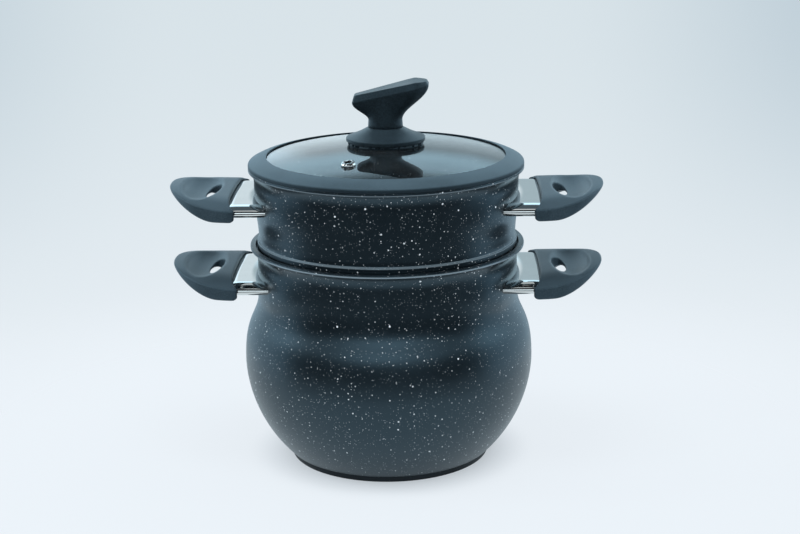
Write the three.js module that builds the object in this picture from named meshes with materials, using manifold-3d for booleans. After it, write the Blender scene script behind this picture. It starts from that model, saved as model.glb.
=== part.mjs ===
// Couscous steamer: a bellied cast pot, a perforated steamer that sits in its mouth, and a glass lid.
// Millimetres, +Z up. The origin is under the middle of the base and the handles lie along X.
import * as THREE from 'three';
import { mergeVertices } from 'three/addons/utils/BufferGeometryUtils.js';
import Module from 'manifold-3d';

const wasm = await Module();
wasm.setup();

// Fits and facets
const CLEARANCE = 0.3;
const OVERCUT = 1;
const ROUND_SIDES = 36;
const SMALL_SIDES = 12;
const CURVE_STEPS = 5;
const SCOOP_STEPS = 9;

// Rims, the same on the pot and on the steamer
const RIM_RADIUS = 127;
const RIM_WIDTH = 5;
const RIM_LIP = 2.6;
const RIM_BEVEL = 0.8;
const RIM_UNDERCUT = 1.2;
const FLARE_HEIGHT = 16;

// Pot
const POT_HEIGHT = 204;
const POT_WALL = 3.5;
const POT_FLOOR = 6;
const NECK_INSET = 6.7;
const NECK_DROP = 38;
const BELLY_BULGE = 14.5;
const BELLY_HEIGHT = 94;
const BASE_RADIUS = 93.3;
const BASE_THICKNESS = 5;
const BASE_BEVEL = 0.8;
const FOOT_OVERHANG = 1.7;
const SEAT_DEPTH = 5.5;

// How far the control points of the belly's two curves lie along its spans
const LOWER_OUT = 0.93;
const LOWER_UP = 0.4;
const LOWER_BELLY = 0.12;
const UPPER_BELLY = 0.67;
const UPPER_NECK = 0.44;

// Steamer
const STEAMER_HEIGHT = 77.5;
const STEAMER_WALL = 3;
const STEAMER_FLOOR = 3;
const STEAMER_INSET = 5.4;
const STEAMER_TAPER = 2.6;
const BAND_GAP = 1.6;
const BAND_HEIGHT = 13.8;
const BAND_FILLET = 4;
const SPIGOT_GAP = 0.8;
const SPIGOT_DEPTH = 9;
const SPIGOT_ROUND = 6;
const HOLE_DIAMETER = 3.8;
const HOLE_PITCH = 22;
const HOLE_RINGS = 4;
const HOLES_PER_RING = 6;
const HOLE_SIDES = 6;

// Lid
const LID_RISE = 20;
const DOME_RADIUS = 505;
const GLASS_THICKNESS = 4;
const GLASS_BORE = 4.2;
const LID_RIM_WIDTH = 17;
const LID_LIP = 1.3;
const LID_EDGE_HEIGHT = 3.2;
const LID_EDGE_ROUND = 1.5;
const GLASS_COVER = 6;
const PLUG_DEPTH = 5.6;
const PLUG_GAP = 1.5;
const PLUG_WIDTH = 8.5;
const VENT_RADIUS = 4.6;
const VENT_DISTANCE = 79;
const VENT_TURN = 247.5;
const EYELET_FLANGE = 1.2;
const EYELET_SHEET = 0.9;
const EYELET_RISE = 2;

// Knob
const SEAL_RADIUS = 34.5;
const SEAL_HEIGHT = 1.1;
const SKIRT_RADIUS = 36.2;
const SKIRT_EDGE = 3.6;
const SKIRT_ROUND = 1.2;
const SKIRT_CONE = 9.1;
const NECK_FOOT_RADIUS = 16;
const NECK_WAIST_RADIUS = 15.6;
const NECK_LENGTH = 6.5;
const KNOB_HEIGHT = 29.8;
const KNOB_PLATE = 6.2;
const KNOB_LEFT = 30;
const KNOB_RIGHT = 40;
const KNOB_LEFT_WIDTH = 18;
const KNOB_RIGHT_WIDTH = 40;
const KNOB_NOSE = 13;
const KNOB_NOSE_WIDTH = 18;
const KNOB_BEVEL = 1.5;
const KNOB_TILT = 13;
const KNOB_NECK_BEND = 0.33;
const KNOB_PLATE_BEND = 0.62;
const KNOB_EDGE_STEPS = 3;
const KNOB_SCREW_RADIUS = 2.5;
const KNOB_SCREW_REACH = 14;
const SCREW_HEAD_RADIUS = 5;
const SCREW_HEAD_HEIGHT = 3;
const WASHER_RADIUS = 8;
const WASHER_THICKNESS = 1.5;

// Handles, measured outward from the wall that carries them and up from their own centre line
const HANDLE_DROP = 32.7;
const GUARD_WIDTH = 126;
const GUARD_HEIGHT = 10.4;
const GUARD_SHEET = 1;
const GUARD_REACH = 23;
const BOSS_SETBACK = 12.5;
const LUG_WIDTH = 60;
const LUG_REACH = 27;
const HORN_REACH = 11.5;
const HORN_WALL = 5;
const HORN_TIP = 3;
const HORN_CHAMFER = 4;
const GRIP_HOLLOW = 8.5;
const GRIP_SHOULDER = 14;
const GRIP_REACH = 80;
const GRIP_WALL = 1.1;
const GRIP_EDGE_DROP = 1;
const GRIP_ROOT_RISE = 5;
const GRIP_TIP_RISE = 12;
const GRIP_TIP_EDGE = 1.2;
const GRIP_KEEL = 32;
const GRIP_KEEL_BEND = 18;
const SCOOP_START = 30;
const SCOOP_LENGTH = 38;
const SCOOP_WIDTH = 106;
const SCOOP_DEPTH = 11.8;
const SLOT_START = 32.6;
const SLOT_LENGTH = 13.4;
const SLOT_WIDTH = 44;
const RECESS_START = 32;
const RECESS_LENGTH = 27;
const RECESS_WIDTH = 88;
const RECESS_RISE = 9.6;
const GRIP_SCREW_RADIUS = 2.5;
const GRIP_SCREW_LENGTH = 20;
const GRIP_HEAD_RADIUS = 4.2;
const GRIP_HEAD_HEIGHT = 2.5;

// Heights and radii that follow from the sizes above
const BASE_TOP = BASE_THICKNESS + CLEARANCE;
const FLOOR_TOP = BASE_TOP + POT_FLOOR;
const FOOT_RADIUS = BASE_RADIUS + FOOT_OVERHANG;
const MOUTH_RADIUS = RIM_RADIUS - RIM_WIDTH;
const NECK_RADIUS = RIM_RADIUS - NECK_INSET;
const NECK_INSIDE = NECK_RADIUS - POT_WALL;
const NECK_HEIGHT = POT_HEIGHT - NECK_DROP;
const BELLY_RADIUS = NECK_RADIUS + BELLY_BULGE;
const SEAT_HEIGHT = POT_HEIGHT - SEAT_DEPTH;
const SHOULDER_HEIGHT = SEAT_HEIGHT + CLEARANCE;
const STEAMER_TOP = SHOULDER_HEIGHT + STEAMER_HEIGHT;
const STEAMER_BOTTOM = SHOULDER_HEIGHT - SPIGOT_DEPTH;
const SPIGOT_RADIUS = NECK_INSIDE - SPIGOT_GAP;
const BAND_RADIUS = MOUTH_RADIUS - BAND_GAP;
const WALL_TOP_RADIUS = RIM_RADIUS - STEAMER_INSET;
const WALL_FOOT_RADIUS = WALL_TOP_RADIUS - STEAMER_TAPER;
const LID_SEAT = STEAMER_TOP + CLEARANCE;
const DOME_APEX = LID_SEAT + LID_RISE;
const LID_RIM_INSIDE = RIM_RADIUS - LID_RIM_WIDTH;
const GLASS_RADIUS = LID_RIM_INSIDE + GLASS_COVER;
const SEAL_TOP = DOME_APEX + CLEARANCE + SEAL_HEIGHT;
const SKIRT_BOTTOM = SEAL_TOP + CLEARANCE;
const SKIRT_TOP = SKIRT_BOTTOM + SKIRT_EDGE + SKIRT_CONE;
const KNOB_BOTTOM = SKIRT_TOP + CLEARANCE;
const GUARD_TOP = GUARD_HEIGHT / 2;
const LUG_HEIGHT = GUARD_HEIGHT - 2 * GUARD_SHEET - 2 * CLEARANCE;
const GRIP_SPREAD = GUARD_WIDTH / 2 + HORN_WALL;
const GRIP_BOTTOM = -GUARD_TOP - CLEARANCE - GRIP_WALL;
const GRIP_EDGE_TOP = GUARD_TOP - GRIP_EDGE_DROP;
const GRIP_ROOT_TOP = GUARD_TOP + GRIP_ROOT_RISE;
const GRIP_TIP_TOP = GUARD_TOP + GRIP_TIP_RISE;
const HEAD_SEAT = SLOT_START - CLEARANCE;

const X = new THREE.Vector3(1, 0, 0);
const Y = new THREE.Vector3(0, 1, 0);
const Z = new THREE.Vector3(0, 0, 1);

function finish(color, roughness, metalness) {
  return new THREE.MeshStandardMaterial({ color, roughness, metalness });
}
const coat = finish(0x2a3137, 0.5, 0.1);
const baseMetal = finish(0x14171a, 0.6, 0.3);
const bakelite = finish(0x3b444a, 0.55, 0);
const silicone = finish(0x48535a, 0.7, 0);
const steel = finish(0xc9ced1, 0.15, 1);
const glass = finish(0xb7c6cf, 0.05, 0);

const assembly = new THREE.Group();

// Adds one named piece to a group.
function add(group, name, material, geometry) {
  const mesh = new THREE.Mesh(geometry, material);
  mesh.name = name;
  group.add(mesh);
}

// Turns a closed geometry into a solid that can be joined and cut.
function solid(geometry) {
  const bare = geometry.clone();
  bare.deleteAttribute('normal');
  bare.deleteAttribute('uv');
  const merged = mergeVertices(bare, 1e-4);
  const vertProperties = new Float32Array(merged.attributes.position.array);
  const triVerts = new Uint32Array(merged.index.array);
  return new wasm.Manifold(new wasm.Mesh({ numProp: 3, vertProperties, triVerts }));
}

// Turns a solid back into a geometry.
function shapeOf(body) {
  const mesh = body.getMesh();
  const geometry = new THREE.BufferGeometry();
  geometry.setAttribute('position', new THREE.BufferAttribute(new Float32Array(mesh.vertProperties), 3));
  geometry.setIndex(new THREE.BufferAttribute(new Uint32Array(mesh.triVerts), 1));
  geometry.computeVertexNormals();
  return geometry;
}

// Revolves an outline of radius and height around Z.
function revolve(path, sides = ROUND_SIDES) {
  return new THREE.LatheGeometry(path.getPoints(CURVE_STEPS), sides).rotateX(Math.PI / 2);
}

// Outline of a closed ring or disc section, drawn anticlockwise and closed on itself.
function section(...corners) {
  const path = new THREE.Path(corners.map(([radius, height]) => new THREE.Vector2(radius, height)));
  path.lineTo(...corners[0]);
  return path;
}

// A round bar along Z.
function bar(radius, from, to, sides = SMALL_SIDES) {
  return revolve(section([0, from], [radius, from], [radius, to], [0, to]), sides);
}

// Extrusions of a flat outline, named for the direction that they run in.
function extrude(shape, depth) {
  return new THREE.ExtrudeGeometry(shape, { depth, bevelEnabled: false, curveSegments: CURVE_STEPS });
}

function extrudeOutward(shape, from, to) {
  const turn = new THREE.Matrix4().makeBasis(Y, Z, X);
  return extrude(shape, to - from).applyMatrix4(turn).translate(from, 0, 0);
}

function extrudeAcross(shape, width) {
  const turn = new THREE.Matrix4().makeBasis(X, Z, Y.clone().negate());
  return extrude(shape, width).applyMatrix4(turn).translate(0, width / 2, 0);
}

// Flattened oval with round ends, the section of the guard and of the boss behind it.
function oval(width, height) {
  const shape = new THREE.Shape();
  const round = height / 2;
  const straight = width / 2 - round;
  shape.absarc(straight, 0, round, -Math.PI / 2, Math.PI / 2, false);
  shape.absarc(-straight, 0, round, Math.PI / 2, Math.PI * 1.5, false);
  return shape;
}

function rectangle(width, height) {
  const shape = new THREE.Shape();
  shape.moveTo(-width / 2, -height / 2);
  shape.lineTo(width / 2, -height / 2);
  shape.lineTo(width / 2, height / 2);
  shape.lineTo(-width / 2, height / 2);
  return shape;
}

// Flare and lip of a rim, from the wall below it to the rim's inside edge.
function drawRim(path, wallRadius, top, grow) {
  const underside = top - RIM_LIP;
  const lipFoot = RIM_RADIUS - RIM_UNDERCUT;
  path.quadraticCurveTo(wallRadius + grow, top - FLARE_HEIGHT / 2, lipFoot + grow, underside);
  path.lineTo(RIM_RADIUS + grow, underside);
  path.lineTo(RIM_RADIUS + grow, top - RIM_BEVEL);
  path.lineTo(RIM_RADIUS - RIM_BEVEL + grow, top);
}

// Belly of the pot from its foot up to the neck, used for the outside and for the inside.
function drawBelly(path, foot, footHeight, inset) {
  const belly = BELLY_RADIUS - inset;
  const neck = NECK_RADIUS - inset;
  const lower = BELLY_HEIGHT - footHeight;
  const upper = NECK_HEIGHT - BELLY_HEIGHT;
  path.bezierCurveTo(foot + LOWER_OUT * (belly - foot), footHeight + LOWER_UP * lower,
    belly, BELLY_HEIGHT - LOWER_BELLY * lower, belly, BELLY_HEIGHT);
  path.bezierCurveTo(belly, BELLY_HEIGHT + UPPER_BELLY * upper,
    neck, NECK_HEIGHT - UPPER_NECK * upper, neck, NECK_HEIGHT);
}

// Outside of the pot as a full body. A grown copy clears the pieces that stand against the wall.
function potOutside(grow) {
  const path = new THREE.Path();
  path.moveTo(0, BASE_TOP);
  path.lineTo(FOOT_RADIUS + grow, BASE_TOP);
  drawBelly(path, FOOT_RADIUS + grow, BASE_TOP, -grow);
  path.lineTo(NECK_RADIUS + grow, POT_HEIGHT - FLARE_HEIGHT);
  drawRim(path, NECK_RADIUS, POT_HEIGHT, grow);
  path.lineTo(0, POT_HEIGHT);
  return solid(revolve(path));
}

// Inside of the pot, with the step in its mouth that carries the steamer.
function potInside() {
  const path = new THREE.Path();
  path.moveTo(0, FLOOR_TOP);
  path.lineTo(FOOT_RADIUS, FLOOR_TOP);
  drawBelly(path, FOOT_RADIUS, FLOOR_TOP, POT_WALL);
  path.lineTo(NECK_INSIDE, SEAT_HEIGHT);
  path.lineTo(MOUTH_RADIUS, SEAT_HEIGHT);
  path.lineTo(MOUTH_RADIUS, POT_HEIGHT + OVERCUT);
  path.lineTo(0, POT_HEIGHT + OVERCUT);
  return solid(revolve(path));
}

function steamerOutside(grow) {
  const path = new THREE.Path();
  path.moveTo(0, STEAMER_BOTTOM);
  path.lineTo(SPIGOT_RADIUS - SPIGOT_ROUND, STEAMER_BOTTOM);
  path.quadraticCurveTo(SPIGOT_RADIUS, STEAMER_BOTTOM, SPIGOT_RADIUS, STEAMER_BOTTOM + SPIGOT_ROUND);
  path.lineTo(SPIGOT_RADIUS, SHOULDER_HEIGHT);
  path.lineTo(BAND_RADIUS + grow, SHOULDER_HEIGHT);
  path.lineTo(BAND_RADIUS + grow, SHOULDER_HEIGHT + BAND_HEIGHT);
  path.quadraticCurveTo(WALL_FOOT_RADIUS + grow, SHOULDER_HEIGHT + BAND_HEIGHT,
    WALL_FOOT_RADIUS + grow, SHOULDER_HEIGHT + BAND_HEIGHT + BAND_FILLET);
  path.lineTo(WALL_TOP_RADIUS + grow, STEAMER_TOP - FLARE_HEIGHT);
  drawRim(path, WALL_TOP_RADIUS, STEAMER_TOP, grow);
  path.lineTo(0, STEAMER_TOP);
  return solid(revolve(path));
}

function steamerInside() {
  const floor = STEAMER_BOTTOM + STEAMER_FLOOR;
  const spigot = SPIGOT_RADIUS - STEAMER_WALL;
  const path = new THREE.Path();
  path.moveTo(0, floor);
  path.lineTo(spigot - SPIGOT_ROUND, floor);
  path.quadraticCurveTo(spigot, floor, spigot, floor + SPIGOT_ROUND);
  path.lineTo(spigot, SHOULDER_HEIGHT + STEAMER_WALL);
  path.lineTo(WALL_FOOT_RADIUS - STEAMER_WALL, SHOULDER_HEIGHT + BAND_HEIGHT);
  path.lineTo(WALL_TOP_RADIUS - STEAMER_WALL, STEAMER_TOP - FLARE_HEIGHT);
  path.lineTo(MOUTH_RADIUS, STEAMER_TOP - FLARE_HEIGHT / 2);
  path.lineTo(MOUTH_RADIUS, STEAMER_TOP + OVERCUT);
  path.lineTo(0, STEAMER_TOP + OVERCUT);
  return solid(revolve(path));
}

// Steam holes in rings around a middle hole.
function steamHoles() {
  const from = STEAMER_BOTTOM - OVERCUT;
  const to = STEAMER_BOTTOM + STEAMER_FLOOR + OVERCUT;
  const hole = solid(bar(HOLE_DIAMETER / 2, from, to, HOLE_SIDES));
  let holes = hole;
  for (let ring = 1; ring <= HOLE_RINGS; ring++) {
    const count = ring * HOLES_PER_RING;
    for (let i = 0; i < count; i++) {
      const turn = (i / count) * Math.PI * 2;
      const radius = ring * HOLE_PITCH;
      holes = holes.add(hole.translate([radius * Math.cos(turn), radius * Math.sin(turn), 0]));
    }
  }
  return holes;
}

// The two bosses that stand out of a wall behind the guards.
function bosses(wallRadius, height) {
  const face = wallRadius - BOSS_SETBACK;
  const block = solid(extrudeOutward(oval(GUARD_WIDTH, GUARD_HEIGHT), face - GUARD_WIDTH / 2, face));
  return block.add(block.rotate([0, 0, 180])).translate([0, 0, height]);
}

const potHandleHeight = POT_HEIGHT - HANDLE_DROP;
const steamerHandleHeight = STEAMER_TOP - HANDLE_DROP;
const steamerWallSpan = STEAMER_HEIGHT - FLARE_HEIGHT - BAND_HEIGHT - BAND_FILLET;
const steamerHandleWall = WALL_TOP_RADIUS - STEAMER_TAPER * ((HANDLE_DROP - FLARE_HEIGHT) / steamerWallSpan);

// Pot
const basePlate = section([0, 0], [BASE_RADIUS - BASE_BEVEL, 0], [BASE_RADIUS, BASE_BEVEL],
  [BASE_RADIUS, BASE_THICKNESS], [0, BASE_THICKNESS]);
add(assembly, 'base_plate', baseMetal, revolve(basePlate));
add(assembly, 'pot_body', coat, shapeOf(
  potOutside(0).add(bosses(NECK_RADIUS, potHandleHeight)).subtract(potInside())));

// Steamer
add(assembly, 'steamer_body', coat, shapeOf(
  steamerOutside(0).add(bosses(steamerHandleWall, steamerHandleHeight))
    .subtract(steamerInside()).subtract(steamHoles())));

// Half-moon outline of a grip, seen from above: two horns, a hollow between them and a rounded nose.
function gripPlan() {
  const shape = new THREE.Shape();
  const length = GRIP_REACH - GRIP_SHOULDER;
  const quarter = Math.PI / 2;
  shape.absellipse(HORN_REACH, 0, GRIP_HOLLOW, GRIP_SPREAD - HORN_TIP, -quarter, quarter, false);
  shape.lineTo(HORN_REACH, GRIP_SPREAD);
  shape.absellipse(GRIP_SHOULDER, 0, length, GRIP_SPREAD, quarter, -quarter, true);
  shape.lineTo(HORN_REACH, -GRIP_SPREAD);
  return shape;
}

// Outline of a grip seen from the side: flat at the horns, its underside rising to the nose.
function gripSide() {
  const shape = new THREE.Shape();
  shape.moveTo(HORN_REACH - OVERCUT, GRIP_ROOT_TOP);
  shape.lineTo(HORN_REACH - OVERCUT, GRIP_BOTTOM + HORN_CHAMFER);
  shape.lineTo(HORN_REACH + HORN_CHAMFER, GRIP_BOTTOM);
  shape.lineTo(GRIP_KEEL, GRIP_BOTTOM);
  shape.quadraticCurveTo(GRIP_KEEL + GRIP_KEEL_BEND, GRIP_BOTTOM, GRIP_REACH, GRIP_TIP_TOP - GRIP_TIP_EDGE);
  shape.lineTo(GRIP_REACH + OVERCUT, GRIP_TIP_TOP - GRIP_TIP_EDGE);
  shape.lineTo(GRIP_REACH + OVERCUT, GRIP_TIP_TOP);
  return shape;
}

// Outline of a grip seen from its nose: crowned across the top.
function gripCrown() {
  const side = GRIP_SPREAD + OVERCUT;
  const shape = new THREE.Shape();
  shape.moveTo(-side, GRIP_BOTTOM - OVERCUT);
  shape.lineTo(side, GRIP_BOTTOM - OVERCUT);
  shape.lineTo(side, GRIP_EDGE_TOP);
  shape.lineTo(GRIP_SPREAD, GRIP_EDGE_TOP);
  shape.quadraticCurveTo(0, 2 * GRIP_TIP_TOP - GRIP_EDGE_TOP, -GRIP_SPREAD, GRIP_EDGE_TOP);
  shape.lineTo(-side, GRIP_EDGE_TOP);
  return shape;
}

// Oval that a finger goes through, in the inner wall of the scoop.
function slotPlan() {
  const shape = new THREE.Shape();
  shape.absellipse(SLOT_START + SLOT_LENGTH / 2, 0, SLOT_LENGTH / 2, SLOT_WIDTH / 2, 0, Math.PI * 2, false);
  return shape;
}

// An egg-shaped tool that presses a dish into the grip, from a height on its middle line.
function dish(start, length, width, depth, height) {
  return solid(new THREE.SphereGeometry(1, 2 * SCOOP_STEPS, SCOOP_STEPS).rotateX(Math.PI / 2)
    .scale(length / 2, width / 2, depth).translate(start + length / 2, 0, height));
}

// An upright block with the outline of a plan, taller than the grip.
function upright(plan) {
  const height = GRIP_TIP_TOP - GRIP_BOTTOM + 2 * OVERCUT;
  return solid(extrude(plan, height).translate(0, 0, GRIP_BOTTOM - OVERCUT));
}

// A round bar along the handle.
function barOutward(radius, from, to) {
  return solid(bar(radius, from, to).rotateY(Math.PI / 2));
}

function gripSolid() {
  const guardPocket = oval(GUARD_WIDTH + 2 * CLEARANCE, GUARD_HEIGHT + 2 * CLEARANCE);
  const lugPocket = rectangle(LUG_WIDTH + 2 * CLEARANCE, LUG_HEIGHT + 2 * CLEARANCE);
  const headWay = GRIP_HEAD_RADIUS + 2 * CLEARANCE;
  return upright(gripPlan())
    .intersect(solid(extrudeAcross(gripSide(), 2 * (GRIP_SPREAD + OVERCUT))))
    .intersect(solid(extrudeOutward(gripCrown(), 0, GRIP_REACH + OVERCUT)))
    .subtract(dish(SCOOP_START, SCOOP_LENGTH, SCOOP_WIDTH, SCOOP_DEPTH, GRIP_TIP_TOP))
    .subtract(dish(RECESS_START, RECESS_LENGTH, RECESS_WIDTH, RECESS_RISE, GRIP_BOTTOM))
    .subtract(upright(slotPlan()))
    .subtract(solid(extrudeOutward(guardPocket, 0, GUARD_REACH + CLEARANCE)))
    .subtract(solid(extrudeOutward(lugPocket, 0, LUG_REACH + CLEARANCE)))
    .subtract(barOutward(GRIP_SCREW_RADIUS + CLEARANCE, LUG_REACH, SLOT_START))
    .subtract(barOutward(headWay, HEAD_SEAT - CLEARANCE, SLOT_START + SLOT_LENGTH - OVERCUT));
}

// Oval sleeve of polished sheet between the wall and the grip, shaped to the wall that it meets.
function guardSolid(wall) {
  const start = CLEARANCE - BOSS_SETBACK;
  const inside = oval(GUARD_WIDTH - 2 * GUARD_SHEET, GUARD_HEIGHT - 2 * GUARD_SHEET);
  return solid(extrudeOutward(oval(GUARD_WIDTH, GUARD_HEIGHT), start, GUARD_REACH))
    .subtract(solid(extrudeOutward(inside, start - OVERCUT, GUARD_REACH + OVERCUT)))
    .subtract(wall);
}

// Tongue inside the sleeve, tapped for the grip's screw.
function lugSolid(wall) {
  const tapped = HEAD_SEAT - GRIP_SCREW_LENGTH - OVERCUT;
  return solid(extrudeOutward(rectangle(LUG_WIDTH, LUG_HEIGHT), -BOSS_SETBACK, LUG_REACH))
    .subtract(wall)
    .subtract(barOutward(GRIP_SCREW_RADIUS + CLEARANCE, tapped, LUG_REACH + OVERCUT));
}

function gripScrew() {
  const end = HEAD_SEAT - GRIP_SCREW_LENGTH;
  const face = HEAD_SEAT + GRIP_HEAD_HEIGHT;
  const screw = section([0, end], [GRIP_SCREW_RADIUS, end], [GRIP_SCREW_RADIUS, HEAD_SEAT],
    [GRIP_HEAD_RADIUS, HEAD_SEAT], [GRIP_HEAD_RADIUS, face], [0, face]);
  return revolve(screw, SMALL_SIDES).rotateY(Math.PI / 2);
}

// One handle on each side of a vessel.
function addHandles(vessel, wallRadius, height, grownBody) {
  const wall = grownBody.translate([-wallRadius, 0, -height]);
  const shapes = [
    ['lug', steel, shapeOf(lugSolid(wall))],
    ['flame_guard', steel, shapeOf(guardSolid(wall))],
    ['grip', bakelite, shapeOf(gripSolid())],
    ['grip_screw', steel, gripScrew()],
  ];
  for (const [side, turn] of [['right', 0], ['left', Math.PI]]) {
    const handle = new THREE.Group();
    const arm = new THREE.Group();
    arm.position.set(wallRadius, 0, height);
    handle.rotation.z = turn;
    for (const [part, material, geometry] of shapes) {
      add(arm, `${vessel}_${side}_${part}`, material, geometry);
    }
    handle.add(arm);
    assembly.add(handle);
  }
}

addHandles('pot', NECK_RADIUS, potHandleHeight, potOutside(CLEARANCE));
addHandles('steamer', steamerHandleWall, steamerHandleHeight, steamerOutside(CLEARANCE));

// Height of the glass's upper or lower face at a distance from the middle.
function domeHeight(distance, depth = 0) {
  const radius = DOME_RADIUS - depth;
  return DOME_APEX - DOME_RADIUS + Math.sqrt(radius * radius - distance * distance);
}

// Points along one face of the glass between two distances from the middle.
function domeArc(from, to, depth) {
  const points = [];
  for (let i = 0; i <= CURVE_STEPS; i++) {
    const distance = from + (to - from) * (i / CURVE_STEPS);
    points.push([distance, domeHeight(distance, depth)]);
  }
  return points;
}

// The vent's place on the dome, with its axis square to the glass.
const vent = new THREE.Group();
vent.rotation.set(0, 0, THREE.MathUtils.degToRad(VENT_TURN));
const ventSeat = new THREE.Group();
ventSeat.position.set(VENT_DISTANCE, 0, domeHeight(VENT_DISTANCE));
ventSeat.rotation.y = Math.asin(VENT_DISTANCE / DOME_RADIUS);
vent.add(ventSeat);
vent.updateMatrixWorld(true);

const glassUnder = domeArc(GLASS_BORE, GLASS_RADIUS, GLASS_THICKNESS);
const glassOver = domeArc(GLASS_RADIUS, GLASS_BORE, 0);
const glassDisc = section(...glassUnder, ...glassOver);
const ventHole = bar(VENT_RADIUS, -2 * GLASS_THICKNESS, GLASS_THICKNESS).applyMatrix4(ventSeat.matrixWorld);
add(assembly, 'lid_glass', glass, shapeOf(solid(revolve(glassDisc)).subtract(solid(ventHole))));

// Flanged eyelet through the glass.
const tube = VENT_RADIUS - CLEARANCE;
const flange = VENT_RADIUS + EYELET_FLANGE;
const eyeletBottom = -GLASS_THICKNESS - CLEARANCE;
const eyelet = section([tube - EYELET_SHEET, eyeletBottom], [tube, eyeletBottom], [tube, CLEARANCE],
  [flange, CLEARANCE], [flange, CLEARANCE + EYELET_SHEET], [tube, CLEARANCE + EYELET_RISE],
  [tube - EYELET_SHEET, CLEARANCE + EYELET_RISE]);
add(ventSeat, 'vent_eyelet', steel, revolve(eyelet, SMALL_SIDES));
assembly.add(vent);

// Soft rim round the glass: a slot for the glass, a lip over it, a sloping top and a plug below.
const plugRadius = MOUTH_RADIUS - PLUG_GAP;
const lipTop = domeHeight(LID_RIM_INSIDE) + CLEARANCE + LID_LIP;
const edgeTop = LID_SEAT + LID_EDGE_HEIGHT;
const slotEdge = GLASS_RADIUS + CLEARANCE;
const plugInside = plugRadius - PLUG_WIDTH;
const lidRim = section(
  [plugInside, LID_SEAT - PLUG_DEPTH],
  [plugRadius, LID_SEAT - PLUG_DEPTH],
  [plugRadius, LID_SEAT],
  [RIM_RADIUS, LID_SEAT],
  [RIM_RADIUS, edgeTop - LID_EDGE_ROUND],
  [RIM_RADIUS - LID_EDGE_ROUND, edgeTop],
  [LID_RIM_INSIDE, lipTop],
  [LID_RIM_INSIDE, domeHeight(LID_RIM_INSIDE) + CLEARANCE],
  [slotEdge, domeHeight(slotEdge) + CLEARANCE],
  [slotEdge, domeHeight(slotEdge, GLASS_THICKNESS) - CLEARANCE],
  [plugInside, domeHeight(plugInside, GLASS_THICKNESS) - CLEARANCE]);
add(assembly, 'lid_rim', silicone, revolve(lidRim));

// Knob seat: a soft seal on the glass and a conical skirt on the seal.
const sealUnder = domeArc(GLASS_BORE, SEAL_RADIUS, -CLEARANCE);
const seal = section(...sealUnder, [SEAL_RADIUS, SEAL_TOP], [GLASS_BORE, SEAL_TOP]);
add(assembly, 'knob_seal', silicone, revolve(seal));

const screwBore = KNOB_SCREW_RADIUS + CLEARANCE;
const skirt = section(
  [screwBore, SKIRT_BOTTOM],
  [SKIRT_RADIUS - SKIRT_ROUND, SKIRT_BOTTOM],
  [SKIRT_RADIUS, SKIRT_BOTTOM + SKIRT_ROUND],
  [SKIRT_RADIUS, SKIRT_BOTTOM + SKIRT_EDGE - SKIRT_ROUND],
  [SKIRT_RADIUS - SKIRT_ROUND, SKIRT_BOTTOM + SKIRT_EDGE],
  [NECK_FOOT_RADIUS, SKIRT_TOP],
  [screwBore, SKIRT_TOP]);
add(assembly, 'knob_skirt', bakelite, revolve(skirt));

// Outline of the knob's plate seen from above, anticlockwise from its narrow end, with a blunt nose.
function knobPlate(inset) {
  const corners = [
    [-KNOB_LEFT + inset, -KNOB_LEFT_WIDTH / 2 + inset],
    [KNOB_RIGHT - KNOB_NOSE, -KNOB_RIGHT_WIDTH / 2 + inset],
    [KNOB_RIGHT - inset, -KNOB_NOSE_WIDTH / 2],
  ];
  const mirrored = corners.map(([along, across]) => [along, -across]).reverse();
  return [...corners, ...mirrored].map(([along, across]) => new THREE.Vector2(along, across));
}

// The same outline with every edge cut into equal steps.
function stepped(outline) {
  return outline.flatMap((corner, i) => {
    const next = outline[(i + 1) % outline.length];
    const step = (_, k) => corner.clone().lerp(next, k / KNOB_EDGE_STEPS);
    return Array.from({ length: KNOB_EDGE_STEPS }, step);
  });
}

// Skins a stack of rings that have the same number of points, from the bottom up, and closes both ends.
function skin(rings) {
  const count = rings[0].length;
  const index = [];
  for (let ring = 0; ring + 1 < rings.length; ring++) {
    for (let i = 0; i < count; i++) {
      const a = ring * count + i;
      const b = ring * count + (i + 1) % count;
      index.push(a, b, b + count, a, b + count, a + count);
    }
  }
  const last = (rings.length - 1) * count;
  const bottom = THREE.ShapeUtils.triangulateShape(rings[0], []);
  const top = THREE.ShapeUtils.triangulateShape(rings.at(-1), []);
  bottom.forEach(([a, b, c]) => index.push(c, b, a));
  top.forEach(([a, b, c]) => index.push(last + a, last + b, last + c));
  return new THREE.BufferGeometry().setFromPoints(rings.flat()).setIndex(index);
}

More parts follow.
